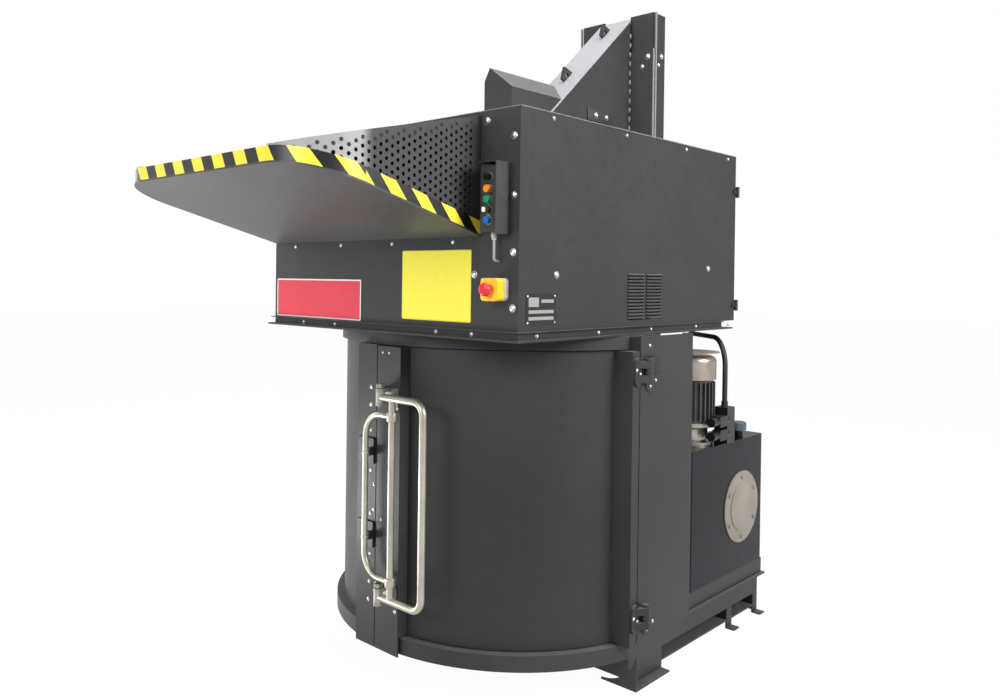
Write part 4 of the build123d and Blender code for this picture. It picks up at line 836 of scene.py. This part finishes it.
# Mast and arm fittings: guide bolts in the carriage, a bracket with two domed bolts at the
# arm's foot, and the stitched weld where the arm's side meets the carriage.
carriage_low, carriage_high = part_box("carriage")
guide_bolt = domed_head(0.0105)
guide_bolts = [((x, carriage_low[1], z), to_front) for x in (-0.173, 0.173) for z in (2.386, 2.010)]
both_sides = ((-1, to_left_side), (1, to_right_side))
guide_bolts += [((side * carriage_high[0], 0.762, z), facing)
                for side, facing in both_sides for z in (2.392, 2.010)]
spread(guide_bolt, "guide_bolts", guide_bolts, lock_nuts, "lift_carriage")
guide_bolt.scale = (0.7, 0.7, 0.7)
guide_screws = [((x, carriage_low[1], 2.346), to_front) for x in (-0.145, 0.145)]
guide_screws += [((side * carriage_high[0], 0.740, 2.350), facing) for side, facing in both_sides]
spread(guide_bolt, "guide_screws", guide_screws, lock_nuts, "lift_carriage")
arm_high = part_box("arm_box")[1]
guide_bolt.scale = (1, 1, 1)
foot_bolts = [((arm_high[0] + 0.006, y, 2.094), to_right_side) for y in (0.433, 0.511)]
spread(guide_bolt, "foot_bolts", foot_bolts, lock_nuts, "lift_carriage")
bpy.data.objects.remove(guide_bolt)

foot = rounded_box("arm_foot_bracket", (arm_high[0] + 0.003, 0.468, 2.092), (0.006, 0.186, 0.052), 0.002, 2)
settle(foot, anthracite, "lift_carriage")

stitch_pitch = 0.042
bpy.ops.mesh.primitive_uv_sphere_add(segments=10, ring_count=6, radius=0.5)
stitch = bpy.context.object
stitch.scale = (0.009, 0.009, 0.026)
bpy.ops.object.transform_apply(scale=True)
pick(stitch, lambda face: face.center.z > 0)
bpy.ops.transform.resize(value=(1.15, 1.15, 1))
bpy.ops.object.mode_set(mode="OBJECT")
stitches = [((arm_high[0] + 0.001, carriage_low[1] - 0.001, 2.03 + stitch_pitch * step), upright)
            for step in range(12)]
# The weld stitches take the pale edge coat as a painted highlight.
spread(stitch, "arm_weld", stitches, edge_highlight_coat, "lift_carriage")
bpy.data.objects.remove(stitch)


# Folded edges: the sheets' outer corners are rolled to a small radius that catches the light,
# along the roof and the front corners of the mast and carriage.
# Each rod is given the pale edge coat, a painted highlight along the fold.
def folded_edge(name, start, end, radius, body):
    """A thin round rod laid in the fold from start to end."""
    start, end = Vector(start), Vector(end)
    bpy.ops.mesh.primitive_cylinder_add(vertices=12, radius=radius, depth=(end - start).length,
                                        location=(start + end) / 2)
    edge = bpy.context.object
    edge.name = name
    edge.rotation_euler = (end - start).to_track_quat("Z", "Y").to_euler()
    pick(edge, lambda face: abs(face.normal.z) > 0.9)
    bpy.ops.mesh.inset(thickness=radius * 0.4)
    bpy.ops.object.mode_set(mode="OBJECT")
    settle(edge, edge_highlight_coat, body)


roof_z = 1.8885
folded_edge("roof_edge_right", (0.6275, -0.705, roof_z), (0.6275, 0.648, roof_z), 0.0022, "frame")
folded_edge("roof_edge_left", (-0.6275, -0.705, roof_z), (-0.6275, 0.648, roof_z), 0.0022, "frame")
folded_edge("roof_edge_front", (-0.625, -0.7075, roof_z), (0.625, -0.7075, roof_z), 0.0018, "frame")
mast_low, mast_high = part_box("mast")
mast_front = mast_low[1]
mast_x = mast_high[0] - 0.004
carriage_x = carriage_high[0] - 0.003
for side, hand in ((-1, "left"), (1, "right")):
    folded_edge("mast_edge_" + hand, (side * mast_x, mast_front + 0.004, 0.18),
                (side * mast_x, mast_front + 0.004, mast_high[2] - 0.002), 0.0055, "frame")
    folded_edge("carriage_edge_" + hand,
                (side * carriage_x, carriage_low[1] + 0.003, carriage_low[2] + 0.002),
                (side * carriage_x, carriage_low[1] + 0.003, carriage_high[2] - 0.002),
                0.0045, "lift_carriage")
